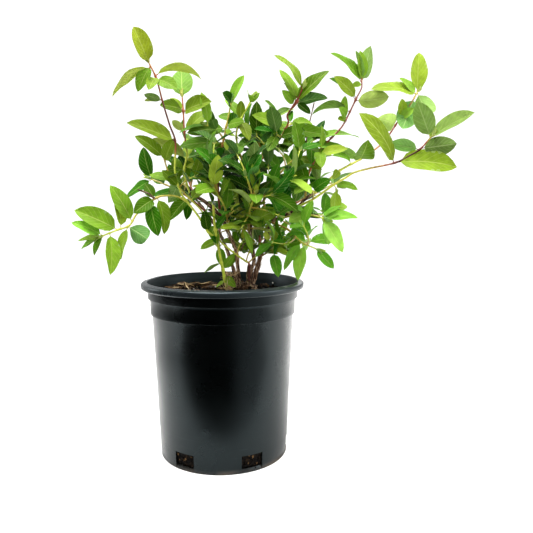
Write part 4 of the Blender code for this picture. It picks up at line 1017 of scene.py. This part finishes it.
def growTwig(shape, rows, start, forward, target, tone, lengths, draw):
    # a side twig: a bow from the shoot to its target, start + way t + lift (t - t^2), with a pair of
    # leaves every 12 mm or so and a bud
    steps = np.linspace(0, 1, 6)[:, None]
    way = target - start
    lift = (forward * growth["twigBow"] - np.array([0, 0, growth["twigSag"]])) * np.linalg.norm(way)
    path, run = smoothRoute(start + way * steps + lift * (steps - steps ** 2), growth["twigStep"])
    count = max(2, int(run / growth["twigSpacing"]))
    nodes = [(i + 1) / count for i in range(count)]
    radii = stemRadii(path, run, 0.5 + run / 90, 0.5, nodes[:-1])
    marks = np.stack([np.full(len(path), tone), np.linspace(0.45, 0.05, len(path))], axis=-1)
    addTube(shape, path, radii, growth["twigSides"], marks)
    tangent = unit(np.gradient(path, axis=0))
    for i, node in enumerate(nodes):
        k = min(len(path) - 1, int(round(node * (len(path) - 1))))
        pairAt(rows, path[k], tangent[k], i, draw.uniform(*lengths), tone + 0.1 * node, 0.2, draw)
    budAt(rows, path[-1], tangent[-1], tone, draw, 8.0)


def growShoot(number, name, spec, twigs):
    # a tube along the route, its leaves placed as listed or by the rule of pairs, its side twigs and a bud
    draw = np.random.default_rng(400 + number)
    shape = Shape()
    path, run = smoothRoute(spec["route"], growth["step"])
    tangent = unit(np.gradient(path, axis=0))
    ripe = np.interp(np.linspace(0, 1, len(path)), *zip(*spec["ripe"]))
    young, old = spec["youthAndPaintedLight"][1], spec["youthAndPaintedLight"][0]
    placed, rows, twigRows = spec.get("leaves", ()), [], []

    def at(share):
        k = int(round(min(1.0, share) * (len(path) - 1)))
        return path[k], tangent[k], ripe[k], old + (young - old) * share

    for share, compass, rise, length, roll, width, bend in placed:
        place, _, ripeness, tone = at(share)
        direction = bearing(compass, rise)
        light = np.array(growth["light"])
        face = unit(light - direction * np.dot(light, direction))
        face = max((turned(face, direction, way) for way in (roll, -roll)), key=lambda f: f[2])
        leafRow(rows, place, direction, face, length, tone, ripeness, draw, bend, width / leafSet["width"])
    nodes = sorted({round(leaf[0], 2) for leaf in placed})
    if not placed:
        bare = growth["bareShare"]
        nodes = list(np.linspace(bare, 1.0, max(2, round(run * (1 - bare) / growth["spacing"]) + 1)))
        for i, share in enumerate(nodes):
            place, forward, ripeness, tone = at(share)
            pairAt(rows, place, forward, i, growth["pairLength"] * (1 - 0.12 * share), tone, ripeness, draw)
    if not spec.get("cut"):
        budAt(rows, path[-1], tangent[-1], young, draw)
    for share, target, tone, lengths in twigs:
        place, forward = at(share)[:2]
        # the twig's tone mixes its painted shade and light with the shoot's own tone
        growTwig(shape, twigRows, place, forward, target, 0.75 * tone + 0.25 * old, lengths, draw)
    for row in rows + twigRows:
        row["yellow"] = np.clip(row["yellow"] - spec.get("cool", 0.0), 0, 1)
    radii = stemRadii(path, run, *spec["radius"], [n for n in nodes if n < 0.97])
    marks = np.stack([np.full(len(path), old), ripe], axis=-1)
    addTube(shape, path, radii, growth["sides"], marks, 0.05, number)
    for group, across, along in ((rows, 6, 10), (twigRows, 4, 7)):
        if group:
            leaves = {key: np.array([row[key] for row in group]) for key in group[0]}
            addLeaves(shape, leaves, across, along, 900 + number)
            addPetioles(shape, leaves)
    shape.piece(name + "_foliage", [youngStem, leafUpper, leafUnder], [name], sharp=60)
    return len(rows) + len(twigRows)


sideTwigs = planTwigs()
leafCount = sum(growShoot(i, name, spec, sideTwigs[name]) for i, (name, spec) in enumerate(shoots.items()))
print("shoots grown:", leafCount, "leaves")


# Canes, bare twigs and the root crown, in mm

bareStems = {  # route; radius at the foot and tip
    "cane_left": ([(18, 16, 160), (15, 14, 190), (13, 13, 206), (6, 11, 225), (-2, 10, 240), (-16, 9, 254),
                   (-33, 9, 264)], 2.0, 1.8),
    "cane_middle": ([(25, 15, 160), (29, 14, 183), (32, 14, 193), (31, 13, 206), (28, 12, 222), (29, 11, 240),
                     (31, 8, 262), (31, 5, 288)], 2.1, 1.4),
    "cane_right": ([(29, 20, 160), (34, 17, 180), (38, 16, 193), (43, 14, 210), (47, 12, 226), (49, 10, 235),
                    (57, 9, 238), (66, 8, 242), (76, 5, 250), (84, 2, 258), (92, 1, 265)], 2.3, 1.5),
    "cane_back_left": ([(17, 25, 160), (8, 34, 195), (-4, 46, 222), (-18, 58, 245), (-32, 70, 262)],
                       1.9, 1.3),
    "cane_back_right": ([(28, 26, 160), (40, 38, 196), (54, 50, 224), (66, 62, 246), (76, 76, 262)],
                        1.9, 1.3),
    "cut_twig_left": ([(-64, -25, 258), (-70, -32, 263), (-78, -37, 266)], 0.9, 0.8),
    "bare_twig_right": ([(85, 12, 308), (88, 12, 330), (94, 12, 356)], 0.7, 0.5),
    "dead_twig_left": ([(29, 12.5, 217), (22, 7, 213), (18, 4, 205)], 0.9, 0.6),
    "dead_twig_right": ([(43, 14, 210), (52, 18, 212), (59, 20, 220)], 0.9, 0.6),
}
caneSet = {"sides": 14, "rough": 0.42, "knots": 5, "slim": 0.9, "foot": 0.25, "wander": 0.7}
bareTwigSet = {"sides": 8, "rough": 0.12, "knots": 2, "slim": 1.0, "foot": 0.1, "wander": 0.3}
woodSet = {"step": 1.6, "knot": 0.16, "knotWidth": 3.0, "footReach": 7.0, "bendSize": 26.0}
stripSet = {"count": 46, "length": (5.0, 17.0), "width": (0.4, 1.3), "lift": (0.1, 1.5), "thick": 0.28}


def addStrips(shape, path, radii, seed):
    # bark strip: a band of half width w on the stem's skin whose end lifts off by lift t^3
    draw = np.random.default_rng(seed)
    tangent, side, upper = pathFrames(path)
    last = len(path) - 1
    perMm = last / runAlong(path)[-1]
    t = np.linspace(0, 1, 7)
    for _ in range(stripSet["count"]):
        length = draw.uniform(*stripSet["length"])
        first = draw.uniform(0.02, 0.72) * last
        places = np.clip(first + t * length * perMm * draw.choice((-1, 1)), 0, last)
        middle, s, u, r = (np.stack([np.interp(places, np.arange(last + 1), column) for column in values.T],
                                    axis=-1) for values in (path, side, upper, radii[:, None]))
        s, u = unit(s), unit(u)
        angle = (draw.uniform(0, full) + 0.5 * draw.normal() * t)[:, None]
        out, across = s * np.cos(angle) + u * np.sin(angle), u * np.cos(angle) - s * np.sin(angle)
        height = r + 0.12 + (draw.uniform(*stripSet["lift"]) * t ** 3)[:, None]
        taper = (1 - 0.7 * np.abs(2 * t - 0.8) ** 3).clip(0.15)
        half = (draw.uniform(*stripSet["width"]) / 2 * taper)[:, None]
        corners = ((0.0, -1), (0.0, 1), (stripSet["thick"], 0.8), (stripSet["thick"], -0.8))
        points = np.stack([middle + out * (height + up) + across * half * sign - out * half ** 2 / (2 * r)
                           for up, sign in corners], axis=1)
        faces = np.concatenate([gridFaces(7, 4, closed=True), [[3, 2, 1, 0]], [[24, 25, 26, 27]]])
        wide, high, ahead = (points[at] - points[0, 0] for at in ((0, 1), (0, 3), (1, 0)))
        if np.dot(np.cross(wide, high), ahead) < 0:
            faces = faces[:, ::-1]
        uv = np.stack(np.broadcast_arrays(np.array([0, 0.2, 0.2, 0])[None], (t * length)[:, None]), axis=-1)
        shape.add(points, faces, 1, uv + draw.uniform(0, 30))


def makeStem(number, name, route, foot, tip):
    # a tube along the route that wanders a little: radius foot to tip, times 1 + knot e^-(d/w)^2 at each
    # knot and 1 + foot e^-(run/reach) at its foot; old canes also carry peeling strips
    shape = Shape()
    woody = name.startswith("cane")
    s = caneSet if woody else bareTwigSet
    path, run = smoothRoute(route, woodSet["step"])
    draw = np.random.default_rng(60 + number)
    places = np.linspace(0, run, len(path))
    radii = (foot + (tip - foot) * (places / run)) * s["slim"]
    for knot in draw.uniform(0, run, s["knots"]):
        radii = radii * (1 + woodSet["knot"] * np.exp(-((places - knot) / woodSet["knotWidth"]) ** 2))
    radii = radii * (1 + s["foot"] * np.exp(-places / woodSet["footReach"]))
    wander = np.stack([lumps(path, woodSet["bendSize"], 70 + number * 3 + i, 2) for i in range(3)], axis=-1)
    path = path + wander * s["wander"] * np.sin(math.pi * places / run)[:, None]
    addTube(shape, path, radii, s["sides"], None, s["rough"], 80 + number)
    if woody:
        addStrips(shape, path, radii, 90 + number)
    materials = [caneBark, curledBark] if woody else [caneBark]
    shape.piece(name + "_bark", materials, [name], sharp=55)


for i, (name, (route, foot, tip)) in enumerate(bareStems.items()):
    makeStem(i, name, route, foot, tip)

crownSet = {
    "centre": (24.0, 19.0, 159.0), "radii": (17.0, 14.0, 12.5), "rings": 30, "columns": 56,
    "knobs": 0.13, "bumps": 0.03,
    "stub": [(25, 11, 165), (26, 11, 173), (26, 12, 181), (28, 12, 190)],  # a cane cut off short
    "stubRadius": 2.1, "stubSwell": 0.12, "stubSides": 12, "stubRough": 0.35,
}


def makeCrown():
    # ellipsoid with knobs: centre + radii * direction * (1 + knobs * lumps)
    s = crownSet
    polar = np.linspace(0, math.pi, s["rings"] + 2)[1:-1, None]
    turns = np.linspace(0, full, s["columns"], endpoint=False)
    way = onCircle(np.sin(polar), turns, np.cos(polar)).reshape(-1, 3)
    way = np.concatenate([way, [[0, 0, 1.0], [0, 0, -1.0]]])
    swell = 1 + s["knobs"] * lumps(way, 1.4, 31, 3) + s["bumps"] * lumps(way, 0.3, 32, 2)
    points = np.array(s["centre"]) + way * np.array(s["radii"]) * swell[:, None]
    shape = Shape()
    uv = np.stack([way[:, 0] * 0.6, way[:, 2] * 20], axis=-1)
    shape.add(points, shellFaces(s["rings"], s["columns"], True), 0, uv)
    path = smoothRoute(s["stub"], woodSet["step"])[0]
    radii = s["stubRadius"] * (1 + s["stubSwell"] * np.sin(np.linspace(0, 7, len(path))))
    addTube(shape, path, radii, s["stubSides"], None, s["stubRough"], 33)
    shape.piece("root_crown_wood", [caneBark], ["root_crown"], sharp=60)


makeCrown()
print("canes and crown made")


# Potting mix, bark and litter, in mm

soilSet = {
    "top": 162.6, "roughness": 1.33, "crumble": 0.55, "gap": 0.3, "rings": 58, "columns": 168,
    "mound": 4.0, "moundReach": 24.0,  # round the crown
    "heap": 2.6, "heapPlace": (-32.0, 26.0), "heapReach": 26.0,
    "slope": (-0.01, 0.008),
    "crumbs": 900, "crumbSize": (0.7, 2.6), "crumbReach": 72.5,
    # crumbs that bulge into the drain slots: number in each, spread in radians, distance out, height, size
    "slotCrumbs": 26, "slotTurn": (-0.14, 0.14), "slotReach": (62.3, 63.1), "slotHeight": (2.6, 16.0),
    "slotSize": (0.8, 1.9),
    "grains": [(55, 48, 166.5), (-31, 12, 165.5), (12, -30, 163.5), (44, 22, 164.0), (-8, 30, 165.5)],
    "grainSize": (1.0, 1.7),
    "levels": (160.0, 156.0, 150.0, 143.0, 136.0, 96.0, 56.0, 20.0, 12.0, 6.0),  # rings down the pot's inside
}


def innerRadius(z):
    # the pot's inside at a height, read from its section
    inside = np.array([p for p in potProfile()[0] if p[0] > 50])
    return np.interp(z, inside[:, 1], inside[:, 0])


def soilHeight(x, y):
    # rough, heaped round the crown (d from it) and at the back left (h from there):
    # top + roughness lumps + mound e^-(d/reach)^2 + heap e^-(h/reach)^2 + slope in x and y
    s = soilSet

    def hump(place, reach):
        return np.exp(-((x - place[0]) ** 2 + (y - place[1]) ** 2) / reach ** 2)

    waves = lumps(np.stack([x, y, 0 * x], axis=-1), 30.0, 41, 3) * s["roughness"]
    mound = s["mound"] * hump(crownSet["centre"], s["moundReach"])
    heap = s["heap"] * hump(s["heapPlace"], s["heapReach"])
    return s["top"] + waves + mound + heap + s["slope"][0] * x + s["slope"][1] * y


upperRing, lowerRing = (onCircle(0.894, np.radians(np.arange(start, 360, 72)), height)
                        for start, height in ((0, 0.447), (36, -0.447)))
ico = np.concatenate([[[0, 0, 1.0]], upperRing, lowerRing, [[0, 0, -1.0]]])
icoFaces = np.array([face for i in range(5) for j in ((i + 1) % 5,)
                     for face in ((0, 1 + i, 1 + j, 1 + j), (1 + i, 6 + i, 1 + j, 1 + j),
                                  (1 + j, 6 + i, 6 + j, 6 + j), (11, 6 + j, 6 + i, 6 + i))])


def addLumps(shape, places, sizes, slot, draw):
    # crumb: an icosahedron with each corner pushed in or out, squashed and turned about Z
    number = len(places)
    body = ico[None] * draw.uniform(0.68, 1.25, (number, 12, 1)) * draw.uniform(0.7, 1.3, (number, 1, 3))
    turn = draw.uniform(0, full, (number, 1))
    x, y, z = body[:, :, 0], body[:, :, 1], body[:, :, 2] * 0.75
    body = np.stack([x * np.cos(turn) - y * np.sin(turn), x * np.sin(turn) + y * np.cos(turn), z], axis=-1)
    points = places[:, None] + body * sizes[:, None, None]
    marks = np.repeat(draw.uniform(0, 1, (number, 2)), 12, axis=0)
    shape.add(points, copies(icoFaces, number, 12), slot, None, marks)


def makeSoil():
    # rings from the middle out to the wall at the height of the mix, then down the pot's inside to its
    # floor; crumbs and pale grains lie on top, and crumbs bulge into the drain slots
    s = soilSet
    columns = s["columns"]
    turns = np.linspace(0, full, columns, endpoint=False)
    levels = np.array(s["levels"])
    reach = np.append(innerRadius(levels) - s["gap"], potSet["base"] - 5.0)[:, None]
    levels = np.append(levels, potSet["floor"] + s["gap"])[:, None]
    radius = (reach[0] * np.linspace(0, 1, s["rings"] + 1)[1:])[:, None]
    x, y = radius * np.cos(turns), radius * np.sin(turns)
    z = soilHeight(x, y) + s["crumble"] * lumps(np.stack([x, y, 0 * x], axis=-1), 4.0, 43, 2)
    ring = np.concatenate([np.stack([x, y, z], axis=-1), onCircle(reach[1:], turns, levels[1:])])
    peak = float(soilHeight(np.zeros(1), np.zeros(1))[0])
    points = np.concatenate([ring.reshape(-1, 3), [[0, 0, peak], [0, 0, levels[-1, 0]]]])
    shape = Shape()
    shape.add(points, shellFaces(len(ring), columns, True))
    draw = np.random.default_rng(44)
    least, most = s["crumbSize"]
    sizes = draw.uniform(0, 1, s["crumbs"]) ** 2.2 * (most - least) + least
    reach = s["crumbReach"] * np.sqrt(draw.uniform(0, 1, s["crumbs"]))
    way = draw.uniform(0, full, s["crumbs"])
    x, y = reach * np.cos(way), reach * np.sin(way)
    addLumps(shape, np.stack([x, y, soilHeight(x, y) + 0.35 * sizes], axis=-1), sizes, 0, draw)
    drains = potSet["firstDrain"] + 360.0 / potSet["drains"] * np.arange(potSet["drains"])
    slots = np.repeat(np.radians(drains), s["slotCrumbs"])
    way = slots + draw.uniform(*s["slotTurn"], len(slots))
    z = draw.uniform(*s["slotHeight"], len(slots))
    sizes = draw.uniform(*s["slotSize"], len(slots))
    addLumps(shape, onCircle(draw.uniform(*s["slotReach"], len(slots)), way, z), sizes, 0, draw)
    grains = np.array(s["grains"], float)
    addLumps(shape, grains, draw.uniform(*s["grainSize"], len(grains)), 1, draw)
    shape.piece("potting_mix_bed", [pottingMix, paleGrain], ["soil"], sharp=70)


makeSoil()

chips = [  # x, y, length, width, turn
    (-44, 42, 17, 7, 20), (-30, 54, 14, 6, -35), (-30, 34, 12, 7, 70), (-12, 50, 15, 6, 10),
    (-58, 22, 11, 6, 50), (45, 41, 12, 6, -20), (-24, -44, 13, 6, 35), (34, -38, 10, 6, -60),
]
litterSet = {
    "chipThickness": 3.0, "chipLift": 0.9,
    "wall": 71.5,  # the litter stays within this distance of the pot's axis
    "bark": [  # number, place x, y, spread x, y, height above the mix, length, width, mean turn and spread
        (80, -8, 10, 42, 38, 0.6, (4, 15), (1.0, 2.6), 0, 90),
        (28, -30, 26, 16, 16, 2.4, (8, 22), (1.4, 3.6), 5, 45),
        (34, 22, 8, 5, 4, 9.0, (3, 9), (0.8, 2.2), 0, 90),
    ],
    "straw": [
        (20, -25, 22, 15, 16, 4.0, (10, 26), (0.7, 1.7), 0, 40),
        (26, 0, 6, 40, 36, 1.2, (5, 18), (0.4, 1.2), 0, 70),
        (170, 6, 6, 3.2, 2.8, 19.0, (4, 9), (0.4, 0.9), 90, 70),
    ],
}


def addFlakes(shape, places, length, width, thick, turn, tilt, roll, seed, across, along):
    # flake point at (u, v): v L along, u W/2 (1 + ragged) across, +-T/2 (1 - u^8) (1 - (2v-1)^8) up,
    # then turned by roll, tilt and turn and moved to its place
    draw = np.random.default_rng(seed)
    number = len(length)
    wide, deep = width[:, None, None], thick[:, None, None]
    v = np.linspace(0, 1, along + 1)[None, 1:-1, None]
    u = np.linspace(-1, 1, across + 1)[None, None, :]
    edge = 1 + 0.20 * draw.normal(size=(number, along - 1, 1)) - 0.35 * np.abs(2 * v - 1) ** 3
    bow = draw.normal(0, 0.06, (number, 1, 1)) * length[:, None, None] * (2 * v - 1) ** 2
    side = u * wide / 2 * edge.clip(0.35)
    ahead = (v - 0.5) * length[:, None, None] + 0 * side
    ragged = 1 + 0.18 * draw.normal(size=side.shape)
    bulk = deep / 2 * (1 - u ** 8) * (1 - (2 * v - 1) ** 8) * ragged
    lift = bow + 0.10 * wide * np.sin(3 * u + 5 * v)
    ends = np.zeros((2, number, 3))
    ends[0, :, 0], ends[1, :, 0] = -length / 2, length / 2
    ends[:, :, 2] = bow[:, 0, 0] / (2 * v[0, 0, 0] - 1) ** 2
    points = bladePoints(*(np.stack([ahead, -side, lift + up], axis=-1) for up in (bulk, -bulk)), *ends)
    for axis, angle in ((0, roll), (1, tilt), (2, turn)):
        c, w = np.cos(np.radians(angle))[:, None], np.sin(np.radians(angle))[:, None]
        a, b = (axis + 1) % 3, (axis + 2) % 3
        first, second = points[:, :, a].copy(), points[:, :, b].copy()
        points[:, :, a], points[:, :, b] = first * c - second * w, first * w + second * c
    flat = np.stack(np.broadcast_arrays(u * 0.5, v), axis=-1)
    uv = bladePoints(flat, flat, np.zeros((1, 2)), np.array([[0, 1.0]]))
    uv = uv * np.stack([width, length], axis=-1)[:, None] * [0.5, 1.0] + draw.uniform(0, 40, (number, 1, 2))
    faces = bladeFaces(across, along)[0]
    shape.add(points + places[:, None], copies(faces, number, points.shape[1]), 0, uv)


def makeChips():
    # each chip is one flake laid on the mix
    for i, (x, y, *size, turn) in enumerate(chips):
        shape = Shape()
        place = np.array([[x, y, float(soilHeight(np.array(x), np.array(y))) + litterSet["chipLift"]]])
        values = (*size, litterSet["chipThickness"], turn, turn / 8, 0.0)
        addFlakes(shape, place, *(np.array([float(value)]) for value in values), 50 + i, 8, 16)
        shape.piece(f"bark_chip_{i + 1}_split", [chipBark], [f"bark_chip_{i + 1}"], sharp=40)


def makeLitter():
    # each kind is strewn in soft ellipses; a long shred lies nearer the axis, so its ends clear the wall
    draw = np.random.default_rng(58)
    for kind, material in (("bark", chipBark), ("straw", dryStraw)):
        shape = Shape()
        for k, (number, x, y, wide, deep, above, lengths, widths, turn, swing) in enumerate(litterSet[kind]):
            length = draw.uniform(*lengths, number)
            width = draw.uniform(*widths, number)
            spots = np.stack([draw.normal(x, wide, number), draw.normal(y, deep, number)], axis=-1)
            limit = (litterSet["wall"] - 0.5 * length) / np.linalg.norm(spots, axis=1)
            spots = spots * np.minimum(1, limit)[:, None]
            ground = soilHeight(spots[:, 0], spots[:, 1])
            places = np.column_stack([spots, ground + 0.4 + draw.uniform(0, 1, number) ** 1.6 * above])
            addFlakes(shape, places, length, width, 0.25 * width + 0.15, draw.normal(turn, swing, number),
                      draw.normal(0, 8 + above, number), draw.normal(0, 30, number), 70 + k, 2, 6)
        shape.piece(kind + "_shreds", [material], sharp=50)


makeChips()
makeLitter()
print("soil, chips and litter made")
